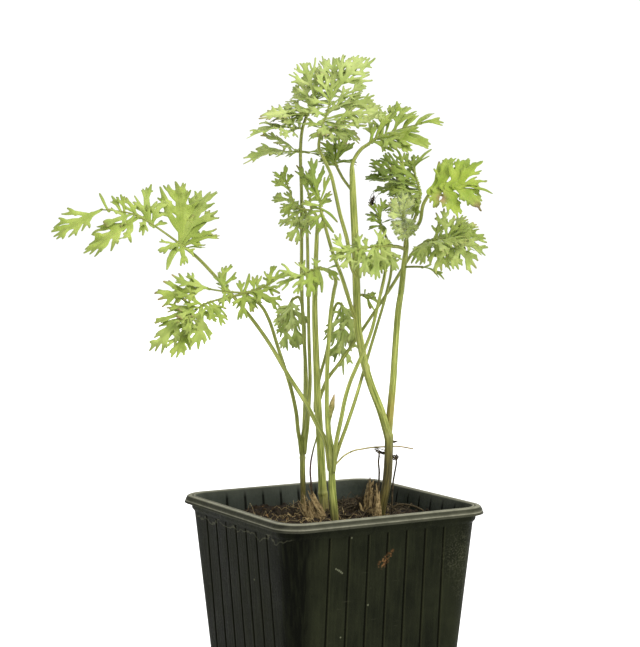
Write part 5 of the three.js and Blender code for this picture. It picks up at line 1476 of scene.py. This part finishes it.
def square_way():
    """Round a square, for point = (half - r) A + u T + r N: columns A, N, u T, and the way from the nearest
    groove's middle. A groove's column has a fixed u, so grooves stay parallel while the wall leans out."""
    middles = (np.arange(GROOVES) - (GROOVES - 1) / 2) * GROOVE_PITCH
    between = middles[:-1] + GROOVE_PITCH / 2
    grooved = (middles[:, None] + GROOVE_COLUMNS).ravel()
    u = np.concatenate([grooved, between, [-0.5 * OUTMOST, 0.5 * OUTMOST, 0, 0]])
    lean = np.concatenate([np.zeros(len(grooved) + len(between)), [-0.5, 0.5, -1, 1]])
    off = np.concatenate([np.tile(GROOVE_COLUMNS, GROOVES), np.full(len(between) + 4, FAR_OFF)])
    order = np.argsort(u + 30 * lean)
    zero, one = np.zeros_like(u), np.ones_like(u)
    face = np.stack([lean, -one, zero, -one, u, zero, off], -1)[order]
    turn = np.linspace(-np.pi / 2, 0, CORNER_COLUMNS)[1:-1]
    zero, one = np.zeros_like(turn), np.ones_like(turn)
    bow = np.stack([one, -one, np.cos(turn), np.sin(turn), zero, zero, FAR_OFF * one], -1)
    side = np.vstack([face, bow])
    sides = []
    for c, d in ((1, 0), (0, 1), (-1, 0), (0, -1)):
        swung = side.copy()
        for i in (0, 2, 4):
            p, q = side[:, i], side[:, i + 1]
            swung[:, i], swung[:, i + 1] = p * c - q * d, p * d + q * c
        sides.append(swung)
    return np.vstack(sides)


way = square_way()


def around(half, bend, push=0.0):
    """(half - r) A + u T + (r + push) N in x and in y, with u squeezed where a side is too short for it."""
    room = np.minimum(1, (half - bend - CORNER_ROOM) / OUTMOST)
    return [(half - bend) * way[:, i] + room * way[:, i + 4] + (bend + push) * way[:, i + 2] for i in (0, 1)]


print("columns round the pot:", len(way))

# %% The pot's wall
GROOVE_DEEP, GROOVE_DEEP_INSIDE = 0.6, 0.3
GROOVE_FROM, GROOVE_TO, GROOVE_INSIDE_TO = 7.0, 88.6, 93.6
NEAR_OUTER, NEAR_INNER, INSIDE_FROM = 0.4, 1.6, 3
LIP_FROM_HALF, LIP_TO_HALF = 42.0, 43.4

half, height = section[:, :1], section[:, 1:]
bend = np.interp(half, [LIP_FROM_HALF, LIP_TO_HALF], [CORNER, RIM_CORNER])
off = way[None, :, 6]
depth = np.clip(1 - np.abs(off) / GROOVE_HALF, 0, 1)
outside = half > wall_half(height) - NEAR_OUTER
inside = ~outside & (half > wall_half(height) - NEAR_INNER) & (height > INSIDE_FROM)
highest = np.where(outside, GROOVE_TO, GROOVE_INSIDE_TO)
window = ((height > GROOVE_FROM) & (height < highest)).astype(float)
push = window * depth * (-GROOVE_DEEP * outside - GROOVE_DEEP_INSIDE * inside)
x, y = around(half, bend, push)
wall_points = np.stack([x, y, np.broadcast_to(height, x.shape)], -1).reshape(-1, 3)
wall_faces = ring_faces(len(section), len(way), close_rows=True)
# The groove mark is painted shade in the grooves, and the edge mark a painted highlight beside each.
wall_marks = {
    "groove": (window * (outside | inside) * (depth > 0.3)).ravel(),
    "edge": (window * outside * np.exp(-(((off - 0.85 * GROOVE_HALF) / 0.2) ** 2))).ravel(),
    "inner": np.broadcast_to(inside * 1.0, x.shape).ravel(),
}
print("points in the wall:", len(wall_points))

# %% [markdown]
# The floor of the pot is guessed, because the photo is cut off above it: a plate with four drain holes.
# Its outline and the holes go through a triangulation that keeps given edges, and both skins are joined
# by walls round every rim. That is surer than a boolean, which can leave slivers round a hole.

# %% The pot's floor and its drain holes
DRAIN_RADIUS, DRAIN_AT, DRAIN_SIDES = 4.0, 19.0, 32
PLATE_HALF, PLATE_FROM = 32.85, 0.25
INSIDE_ONLY, NEAR_ENOUGH = 1, 0.001

turn = np.arange(DRAIN_SIDES) / DRAIN_SIDES * 2 * np.pi
drain = DRAIN_RADIUS * np.stack([np.cos(turn), np.sin(turn)], -1)
outline = np.stack(around(PLATE_HALF, CORNER), -1)
holes = [drain + [sx * DRAIN_AT, sy * DRAIN_AT] for sx in (-1, 1) for sy in (-1, 1)]
firsts = len(outline) + DRAIN_SIDES * np.arange(len(holes))
numbers = [np.arange(len(outline))] + [first + np.arange(DRAIN_SIDES) for first in firsts]
corners = np.vstack([outline, *holes]).tolist()
cut_plate = delaunay_2d_cdt(corners, [], [n.tolist() for n in numbers], INSIDE_ONLY, NEAR_ENOUGH)
solid = np.array([ids == [0] for ids in cut_plate[5]])
flat, faces = np.array([tuple(v) for v in cut_plate[0]]), np.array(cut_plate[2])[solid]
plate = np.vstack([np.column_stack([flat, np.full(len(flat), z)]) for z in (FLOOR, PLATE_FROM)])
plate_faces = [faces, faces[:, ::-1] + len(flat), wall_of(rim_of(faces), len(flat))]
plate_marks = {key: np.zeros(len(plate)) for key in wall_marks}
print("points in the floor:", len(plate))

# %% The whole pot
BEAD_Z, BEAD_HALF, BEAD_WORN_AND_LIT = 94.97, 0.22, 3.0
RIDGE_Z, RIDGE_HALF, RIDGE_WORN_AND_LIT = 93.05, 0.16, 3.4
LIP_Z, LIP_WORN_AND_LIT = 91.94, 0.3
RUBBED_AND_LIT, LIT_FRONT, FRONT_Y = 0.3, 0.2, -40
SHADY_CORNER, SHADY_REACH, SHADY_SIDE_X, SHADY_TO_Z = [40, 40], 9.0, -33, 89

points, face_sets, marks = gathered([
    (wall_points, [wall_faces], wall_marks),
    (plate, plate_faces, plate_marks),
])
z = points[:, 2]
# Painted highlight and wear on the rim: the bead, the ridge and the lip are marked paler, and more on the
# front side, which faces the lamp.
rubbed_and_lit = RUBBED_AND_LIT + LIT_FRONT * (points[:, 1] < FRONT_Y)
bead = np.exp(-(((z - BEAD_Z) / BEAD_HALF) ** 2))
ridge = np.exp(-(((z - RIDGE_Z) / RIDGE_HALF) ** 2))
rim_wear_and_highlight = BEAD_WORN_AND_LIT * bead * rubbed_and_lit + RIDGE_WORN_AND_LIT * ridge * rubbed_and_lit + LIP_WORN_AND_LIT * (z > LIP_Z) * rubbed_and_lit
marks["rim_wear_and_highlight"] = np.clip(rim_wear_and_highlight, 0, 1)
# Painted shade: darkest round the near corner, and half as dark on the left side below the rim.
painted_shade_at = np.exp(-(((points[:, :2] + SHADY_CORNER) ** 2).sum(1) / SHADY_REACH**2))
painted_shade_at = painted_shade_at + 0.5 * (points[:, 0] < SHADY_SIDE_X) * (z < SHADY_TO_Z)
marks["shade"] = np.clip(painted_shade_at, 0, 1) * (1 - marks["inner"])
piece("nursery_pot", points, face_sets, pot_finish, ["pot"], "pot_plastic", marks, (2, 3))

# %% [markdown]
# Peat is brown and fibrous, with clods, crumbs and strands of root. One function makes its finish and
# those of the roots, twigs and straw, which differ only in their colours and flecks.

# %% The look of the peat and its strands
def earthy(name, dark, light, fleck, fleck_from):
    """A rough brown finish: dark to light by noise, with flecks of a third colour."""
    finish, tree, shader, where = finish_of(name, 0.92, 0.2)
    crumbly = grain(tree, where, 700, 6.0, 0.7)
    skin = mixed(tree, spread(tree, crumbly, 0.36, 0.66), dark, light)
    specks = spread(tree, grain(tree, where, 420, 2.0), fleck_from, fleck_from + 0.05)
    skin = mixed(tree, specks, skin, fleck)
    skin = mixed(tree, mark(tree, "purple"), skin, ink(84, 50, 54))
    skin = mixed(tree, mark(tree, "green"), skin, mixed(tree, crumbly, ink(96, 110, 40), ink(150, 160, 76)))
    coloured(tree, shader, skin)
    bumped(tree, shader, crumbly, 0.6 * MM)
    return finish


peat_finish = earthy("fibrous_peat", ink(8, 6, 4), ink(52, 41, 26), ink(132, 104, 68), 0.68)
crumb_finish = earthy("peat_crumb", ink(16, 13, 8), ink(76, 60, 38), ink(138, 104, 64), 0.64)
root_finish = earthy("dry_root_skin", ink(112, 98, 66), ink(186, 166, 120), ink(70, 58, 38), 0.64)
twig_finish = earthy("dark_twig_skin", ink(36, 31, 21), ink(78, 67, 45), ink(24, 20, 14), 0.6)
straw_finish = earthy("straw_skin", ink(96, 80, 50), ink(190, 166, 118), ink(58, 46, 28), 0.62)

# %% [markdown]
# The peat's top is a low heap with soft clods, and a sum of many small waves of random direction
# roughens it. It is worked out on rings that follow the pot's own square, so that it meets the wall all
# round. A noise displacement would do for the picture, but crumbs and strands have to know its height.

# %% The height of the peat
SOIL_LEVEL = 86.0
HEAP, HEAP_WIDTH = 2.6, 26.0
WAVES, LEAST_PITCH, PITCH_RANGE, WAVE_HEIGHT = 60, 0.9, 6, 0.22

soil_rng = np.random.default_rng(11)
wave_turn = soil_rng.uniform(0, 2 * np.pi, WAVES)
wave_pitch = LEAST_PITCH * PITCH_RANGE ** soil_rng.uniform(0, 1, WAVES)
wave_start = soil_rng.uniform(0, 2 * np.pi, WAVES)


def soil_height(x, y):
    """Level, plus a bell of 2.6 mm, plus two crossing waves for the clods."""
    heap = HEAP * np.exp(-(x**2 + y**2) / (2 * HEAP_WIDTH**2))
    clods = 0.8 * np.sin(0.41 * x + 1) * np.cos(0.37 * y) + 0.5 * np.sin(0.83 * y - 0.6 * x)
    return SOIL_LEVEL + heap + clods


def roughness_at(x, y):
    """0.22 times the sum over k of sin(p_k (x cos t_k + y sin t_k) + s_k) / p_k: long waves are high."""
    run = x[..., None] * np.cos(wave_turn) + y[..., None] * np.sin(wave_turn)
    return WAVE_HEIGHT * (np.sin(wave_pitch * run + wave_start) / wave_pitch).sum(-1)


def peat_top(x, y):
    """The soil's height plus its roughness."""
    return soil_height(x, y) + roughness_at(x, y)


print("waves on the peat:", WAVES)

# %% The peat
SOIL_GAP = 0.77
SOIL_HALF = wall_half(SOIL_LEVEL) - WALL - SOIL_GAP
SOIL_ROWS = 90
SOIL_BOTTOM, SOIL_FOOT, LIP_DOWN = FLOOR + 0.35, 0.78, 1.2

share = np.sqrt(np.linspace(0, 1, SOIL_ROWS)[1:])[:, None]
x, y = (share * side[None, ::2] for side in around(SOIL_HALF, CORNER))
top = np.stack([x, y, peat_top(x, y)], -1)
foot = np.stack([SOIL_FOOT * x[-1], SOIL_FOOT * y[-1], np.full(x.shape[1], SOIL_BOTTOM)], -1)
rows = np.concatenate([top, [top[-1] - [0, 0, LIP_DOWN]], [foot]])
columns = rows.shape[1]
middle = np.array([[0, 0, peat_top(np.array(0.0), np.array(0.0))], [0, 0, SOIL_BOTTOM]])
here, after = np.arange(columns), (np.arange(columns) + 1) % columns
count = len(rows) * columns
fans = np.vstack([
    np.stack([np.full(columns, count), here, after], -1),
    np.stack([np.full(columns, count + 1), count - columns + after, count - columns + here], -1),
])
points = np.vstack([rows.reshape(-1, 3), middle])
piece("peat_bed", points, [ring_faces(len(rows), columns)[:, ::-1], fans], peat_finish, ["soil"], "peat")

# %% [markdown]
# Crumbs lie on the peat, thickest near the stems. Each is a lumpy twenty-sided grain, which at this size
# can't be told from a rounder one, and all of them are one mesh.

# %% The crumbs
GOLDEN = (1 + math.sqrt(5)) / 2
CRUMBS, CRUMB_LEAST, CRUMB_SPREAD, CRUMB_SEATED = 900, 0.25, 0.9, 0.3
CRUMBS_REACH, NEAR_STEMS = 36.0, 0.45


def grain_shape():
    """The twelve corners (0, +-1, +-golden) and their turns, and the twenty faces between nearest ones."""
    base = np.array([[0, a, b * GOLDEN] for a in (-1, 1) for b in (-1, 1)])
    corners = np.vstack([base, base[:, [2, 0, 1]], base[:, [1, 2, 0]]]) / math.hypot(1, GOLDEN)
    gap = np.linalg.norm(corners[:, None] - corners[None], axis=2)
    close = (gap > 0.1) & (gap < 1.2)
    i, j, k = np.nonzero(close[:, :, None] & close[:, None, :] & close[None])
    faces = np.stack([i, j, k], -1)[(i < j) & (j < k)]
    a, b, c = corners[faces[:, 0]], corners[faces[:, 1]], corners[faces[:, 2]]
    inward = (np.cross(b - a, c - a) * a).sum(1) < 0
    faces[inward] = faces[inward][:, ::-1]
    return corners, faces


def strewn(count, rng, reach):
    """Places on the peat: even over the square, but 0.45 of them are drawn round its middle, where the
    stems stand."""
    at = rng.uniform(-1, 1, (count, 2)) * reach
    gather = rng.uniform(0, 1, count) < NEAR_STEMS
    at[gather] = rng.normal(0, 0.35, (gather.sum(), 2)) * reach
    return np.clip(at, -reach, reach)


def copies(faces, points_each, count):
    """The faces of count equal bodies, whose points follow each other."""
    shift = points_each * np.arange(count)[:, None, None]
    return (faces[None] + shift).reshape(-1, faces.shape[1])


corners, faces = grain_shape()
rng = np.random.default_rng(21)
at = strewn(CRUMBS, rng, CRUMBS_REACH)
size = CRUMB_LEAST + CRUMB_SPREAD * rng.uniform(0, 1, CRUMBS) ** 3
lumps = corners[None] * rng.uniform(0.6, 1.25, (CRUMBS, len(corners), 1))
lumps = lumps * (size[:, None] * rng.uniform(0.6, 1.2, (CRUMBS, 3)))[:, None]
seat = np.column_stack([at, peat_top(at[:, 0], at[:, 1]) + CRUMB_SEATED * size])
crumbs = (lumps + seat[:, None]).reshape(-1, 3)
piece("peat_crumbs", crumbs, [copies(faces, len(corners), CRUMBS)], crumb_finish, [], "peat")

# %% [markdown]
# Roots, fibres, bark and straw lie on the peat in heaps. Each strand is a thin bent tube that follows
# the peat's height. Curves with a bevel would be quicker to make, but they don't travel with a model.

# %% Helpers for strands
STRAND_REACH, START_REACH = 37.5, 34
HEADING_DRAWN, LENGTH_DRAWN, CURL_DRAWN = 0.35, (0.4, 1.3), 0.22


def tubes_along(line, radius, sides=4):
    """Many thin tubes at once, from middle lines of shape (tubes, rows, 3) and a radius at each point."""
    count, rows = line.shape[:2]
    ahead = np.gradient(line, axis=1)
    ahead /= np.linalg.norm(ahead, axis=2)[..., None]
    side = np.cross(ahead, [0.31, 0.2, 0.93])
    side /= np.linalg.norm(side, axis=2)[..., None]
    other = np.cross(side, ahead)
    turn = np.arange(sides) / sides * 2 * np.pi
    wheel = np.cos(turn)[:, None] * side[:, :, None] + np.sin(turn)[:, None] * other[:, :, None]
    skin = line[:, :, None] + radius[..., None, None] * wheel
    caps = np.array([np.arange(sides), (rows - 1) * sides + np.arange(sides)[::-1]])
    face_sets = [copies(faces, rows * sides, count) for faces in (ring_faces(rows, sides)[:, ::-1], caps)]
    return skin.reshape(-1, 3), face_sets


def strands(starts, headings, lengths, curls, lifts, radius, rows=9):
    """A strand's middle line is start + l t heading, bowed sideways by curl sin(pi t) and lifted off the
    peat by lift sin(pi t); its radius thins as 1 - 0.6 t."""
    t = np.linspace(0, 1, rows)[None, :, None]
    out = np.stack([-headings[:, 1], headings[:, 0]], -1)
    flat = starts[:, None] + lengths[:, None, None] * t * headings[:, None]
    flat = flat + curls[:, None, None] * np.sin(np.pi * t) * out[:, None]
    flat = np.clip(flat, -STRAND_REACH, STRAND_REACH)
    up = peat_top(flat[..., 0], flat[..., 1]) + radius + lifts[:, None] * np.sin(np.pi * t[..., 0])
    line = np.concatenate([flat, up[..., None]], -1)
    return tubes_along(line, radius * (1 - 0.6 * t[..., 0]) * np.ones(line.shape[:2]))


def heap_of(name, count, seed, centre, spread_by, length, lift, radius, finish, slot, heading=None):
    """A named heap of strands that start round a centre, and run all ways or near one heading."""
    rng = np.random.default_rng(seed)
    starts = np.asarray(centre)[None] + rng.normal(0, 1, (count, 2)) * spread_by
    starts = np.clip(starts, -START_REACH, START_REACH)
    if heading is None:
        turn = rng.uniform(0, 2 * np.pi, count)
    else:
        turn = heading + rng.normal(0, HEADING_DRAWN, count)
    headings = np.stack([np.cos(turn), np.sin(turn)], -1)
    lengths = length * rng.uniform(*LENGTH_DRAWN, count)
    curls = lengths * rng.normal(0, CURL_DRAWN, count)
    lifts = lift * rng.uniform(0, 1, count) ** 2
    points, face_sets = strands(starts, headings, lengths, curls, lifts, radius)
    return piece(name, points, face_sets, finish, [], slot)


def wisps(count, foot, top, foot_spread, top_spread, bow, radius, rng, rows=12):
    """Thin tubes from round a foot to round a top: foot + t (top - foot) + bow sin(pi t) + a small
    wobble, thinning as 1 - 0.7 t. Foot and top are given in the plant's frame."""
    t = np.linspace(0, 1, rows)[None, :, None]
    low = place(foot) + rng.normal(0, 1, (count, 3)) * foot_spread
    high = place(top) + rng.normal(0, 1, (count, 3)) * top_spread
    high = low + (high - low) * rng.uniform(0.45, 1, (count, 1))
    bows = rng.normal(0, bow, (count, 3))[:, None] * np.sin(np.pi * t)
    wobble = 0.5 * bow * rng.normal(0, 1, (count, 3))[:, None]
    wobble = wobble * np.sin(3 * np.pi * t + rng.uniform(0, 6, (count, 1, 1)))
    line = low[:, None] + t * (high - low)[:, None] + bows + wobble * t
    return tubes_along(line, radius * rng.uniform(0.5, 1.3, (count, 1)) * (1 - 0.7 * t[..., 0]))


# %% Strands on the peat
BARK_AT = place([2, 4, 0])[:2]
TANGLE_AT = place([9.8, 30, 0])[:2]
STRAW_AT = place([-8, -4, 0])[:2]
slant = place([1, 0.6, 0])
SLANTING = math.atan2(slant[1], slant[0])

heap_of("fine_roots", 260, 31, (0, 0), 16.0, 9.0, 1.6, 0.13, twig_finish, "peat")
heap_of("pale_fibres", 130, 32, (-4, 2), 16.0, 9.0, 2.0, 0.1, root_finish, "peat")
heap_of("long_bark", 26, 35, BARK_AT, 9.0, 26.0, 2.4, 0.42, twig_finish, "dry_root", SLANTING)
heap_of("dark_tangle", 60, 33, TANGLE_AT, 6.0, 14.0, 3.2, 0.24, twig_finish, "dry_root")
heap_of("straw_bits", 30, 34, STRAW_AT, 5.0, 10.0, 2.2, 0.2, straw_finish, "dry_straw")
leaning = wisps(44, [13, 6, 87], [17, 5, 102], [2.4, 2.4, 0.8], [1.2, 1.6, 1.5], 0.9, 0.26,
                np.random.default_rng(36))
piece("leaning_tangle", *leaning, twig_finish, [], "dry_root")

# %% [markdown]
# Dry pieces stand and lie among the stems: a dead petiole, thin twigs and a pale root that arches over
# the soil. They are tubes like the stems, with a knobbly outline, and the same finishes as the strands.

# %% Dry stalks and roots
DRY_STEPS, DRY_ROUND = 8, 12
DRY_LOOK = {
    "petiole_stub": (straw_finish, "dry_straw", 1.25),
    "dry_root_arched": (root_finish, "dry_root", 0.7),
}
TWIG_LOOK = (twig_finish, "dry_root", 0.8)


def knobbly(t, a):
    """1 + 0.12 sin(23t + a) sin(11t) + 0.05 cos 3a."""
    return 1 + 0.12 * np.sin(23 * t + a) * np.sin(11 * t) + 0.05 * np.cos(3 * a)


def swollen(t):
    """A stub's radius along it: (0.75 + 1.1 exp(-((t - 0.72) / 0.25)^2)) sqrt(1 - 0.97 t^8)."""
    return (0.75 + 1.1 * np.exp(-(((t - 0.72) / 0.25) ** 2))) * (1 - 0.97 * t**8) ** 0.5


for name, dry in DRY_STALKS.items():
    finish, slot, thickness = DRY_LOOK.get(name, TWIG_LOOK)
    route = smooth_route(place(dry["route"]), DRY_STEPS)
    radius = thickness * np.linspace(*dry["radius"], len(route))
    if name == "petiole_stub":
        radius = radius * swollen(np.linspace(0, 1, len(route)))
    points, faces, marks = stalk(route, radius, DRY_ROUND, knobbly)
    share = marks.pop("share")
    if name == "petiole_stub":
        marks["green"] = np.clip(1.7 - 1.7 * share, 0, 0.95)
    elif name == "dry_twig_left":
        marks["green"] = np.clip(3 * share - 2.1, 0, 0.9)
        marks["purple"] = 0.8 * np.exp(-(((share - 0.55) / 0.18) ** 2))
    elif name == "dry_root_arched":
        marks["green"] = 0.5 * (1 - share)
    new_name = name.replace("dry_", "withered_").replace("petiole_stub", "withered_petiole")
    piece(new_name, points, faces, finish, [name], slot, marks)

# %% [markdown]
# Where the right stem forks hang small dark bits of something dead, and by the small dark leaf a curled
# tip. They are too small to have a form of their own in the photo, so a few short wisps stand for each.

# %% Small dark bits by the right stem, and a curled dead tip
bits_rng = np.random.default_rng(61)
bits = [
    wisps(9, [20.6, 2.5, 112.6], [16.8, 2.5, 114.2], [0.3, 0.3, 0.5], [0.5, 0.5, 0.9], 0.9, 0.24, bits_rng),
    wisps(3, [22.6, 3, 117.2], [26.4, 2.6, 117.4], [0.2, 0.2, 0.2], [0.2, 0.2, 0.3], 0.15, 0.5, bits_rng),
    wisps(12, [24.7, -2.3, 111.0], [25.2, -2.3, 112.6], [0.3, 0.3, 0.2], [0.4, 0.4, 0.3], 0.4, 0.3, bits_rng),
    wisps(14, [15.6, 4, 209.5], [16.8, 3.5, 213.8], [0.5, 0.4, 0.5], [1.0, 0.7, 0.8], 0.8, 0.3, bits_rng),
]
points, faces, _ = gathered([(*bit, {}) for bit in bits])
piece("dark_bits", points, faces, twig_finish, [], "dry_root")

# %% [markdown]
# The foot of an old stem is wrapped in the torn sheaths of last year's leaves. Each is a thin curved
# strip that narrows to a tip. A single skin would show no thickness at its torn edge, so a second one
# lies close behind it, and the two are one closed ring that is carried up the strip.

# %% Straw sheaths
STRIP_ROWS, STRIP_ACROSS = 22, 9
STRIP_THICK, TIP_WIDE, STRIP_BOW, STRIP_LEAN = 0.22, 0.06, 0.08, 0.05
SHEATH_SEED, SHEATH_SUNK = 41, 0.5
COPIES, COPY_APART, COPY_SHORTER = 3, 0.6, 2.2
STRIP_WIDE, STRIP_CURL = (0.35, 0.75), 0.5


def strip(foot, tip, wide, curl, rng):
    """point(u, v) = foot + v (tip - foot) + w(v) (u side + curl (1 - u^2) out), w(v) = wide (1 - v^1.6)^0.7
    + 0.06, with u from -1 to 1 across, and a little bow and lean. A second skin 0.22 mm behind closes it."""
    v = np.linspace(0, 1, STRIP_ROWS)[:, None]
    u = np.linspace(-1, 1, STRIP_ACROSS)[None, :]
    axis = tip - foot
    side = unit(np.cross(axis, place([0.2, -1, 0])))
    out = unit(np.cross(side, axis))
    w = wide * (1 - v**1.6) ** 0.7 + TIP_WIDE
    bow = STRIP_BOW * np.linalg.norm(axis) * np.sin(np.pi * v) * rng.uniform(-1, 1)
    lean = STRIP_LEAN * np.linalg.norm(axis) * np.sin(np.pi * v) * rng.uniform(-1, 1)
    base = foot + v[..., None] * axis + (lean * side[None])[:, None] + (bow * out[None])[:, None]
    fold = curl * w * (1 - u**2) + 0.08 * np.cos(9 * u + 3 * v)
    front = base + (w * u)[..., None] * side + fold[..., None] * out
    back = front - STRIP_THICK * out
    shell = np.concatenate([front, back[:, ::-1]], 1).reshape(-1, 3)
    ring = 2 * STRIP_ACROSS
    ends = np.array([[ring - 1 - i, ring - 2 - i, i + 1, i] for i in range(STRIP_ACROSS - 1)])
    caps = np.vstack([ends, ends[:, ::-1] + (STRIP_ROWS - 1) * ring])
    return shell, [ring_faces(STRIP_ROWS, ring), caps], {}


for number, (name, blades) in enumerate(SHEATHS.items()):
    rng = np.random.default_rng(SHEATH_SEED + number)
    strips = []
    for across, back, *tip in blades:
        foot = place([across, back, 0])
        foot[2] = soil_height(foot[0], foot[1]) - SHEATH_SUNK
        for copy in range(COPIES):
            sideways = copy * np.array([1, 1, 0])
            end = place(tip) + rng.normal(0, COPY_APART, 3) * sideways - [0, 0, COPY_SHORTER * copy]
            wide = rng.uniform(*STRIP_WIDE)
            start = foot + rng.normal(0, COPY_APART, 3) * sideways
            strips.append(strip(start, end, wide, STRIP_CURL, rng))
        fibres = wisps(7, [across, back, foot[2]], tip, [0.6, 0.6, 0.2], [1.0, 0.8, 1.0], 0.5, 0.2, rng)
        strips.append((*fibres, {}))
    points, faces, _ = gathered(strips)
    piece(name.replace("dry_", "torn_"), points, faces, straw_finish, [name], "dry_straw")

# %% [markdown]
# The shoot's growing point is wrapped in silky down. Fur could be made with a hair system, but hairs
# that are curves don't travel with a model, so each hair here is a thin three-sided spike that starts
# on the leaf's skin and leans with the skin's normal.

# %% Down on the shoot
HAIRS, HAIR_LENGTH, HAIR_HALF, HAIR_LEAN = 6000, 1.1, 0.035, 0.45

down_finish, tree, shader, where = finish_of("silky_down", 0.6, 0.3)
coloured(tree, shader, mixed(tree, grain(tree, where, 400), ink(186, 200, 150), ink(226, 230, 204)))


def downy(name, source, count, length, seed):
    """Spikes on a piece's skin: from p, three base points on a ring of 0.035 mm and a tip at p + l (n + j),
    where n is the skin's normal and j is drawn."""
    rng = np.random.default_rng(seed)
    mesh = bpy.data.objects[source].data
    where_at, normals = np.zeros(3 * len(mesh.vertices)), np.zeros(3 * len(mesh.vertices))
    mesh.vertices.foreach_get("co", where_at)
    mesh.vertices.foreach_get("normal", normals)
    pick = rng.integers(0, len(mesh.vertices), count)
    root, normal = where_at.reshape(-1, 3)[pick] / MM, normals.reshape(-1, 3)[pick]
    lean = normal + rng.normal(0, HAIR_LEAN, (count, 3))
    tip = root + length * rng.uniform(0.4, 1, (count, 1)) * lean
    side = np.cross(normal, rng.normal(0, 1, (count, 3)))
    side /= np.linalg.norm(side, axis=1)[:, None]
    other = np.cross(normal, side)
    turn = np.arange(3) / 3 * 2 * np.pi
    wheel = np.cos(turn)[None, :, None] * side[:, None] + np.sin(turn)[None, :, None] * other[:, None]
    points = np.concatenate([root[:, None] + HAIR_HALF * wheel, tip[:, None]], 1).reshape(-1, 3)
    spike = np.array([[0, 1, 3], [1, 2, 3], [2, 0, 3], [0, 2, 1]])
    return piece(name, points, [copies(spike, 4, count)], down_finish, [], "shoot_pale")


downy("down_of_shoot", "blade_shoot_tip", HAIRS, HAIR_LENGTH, 51)

# %% [markdown]
# The floor is a nearly white sheet, so that only the shadow of the plant shows on it. An even white
# would do as well, but a very faint unevenness keeps it from looking like a hole in the picture.

# %% The look of the floor
floor_finish, tree, shader, where = finish_of("pale_floor", 0.8, 0.2)
coloured(tree, shader, mixed(tree, grain(tree, where, 3), ink(250, 250, 249), ink(253, 253, 253)))
floor_mesh.materials.append(floor_finish)
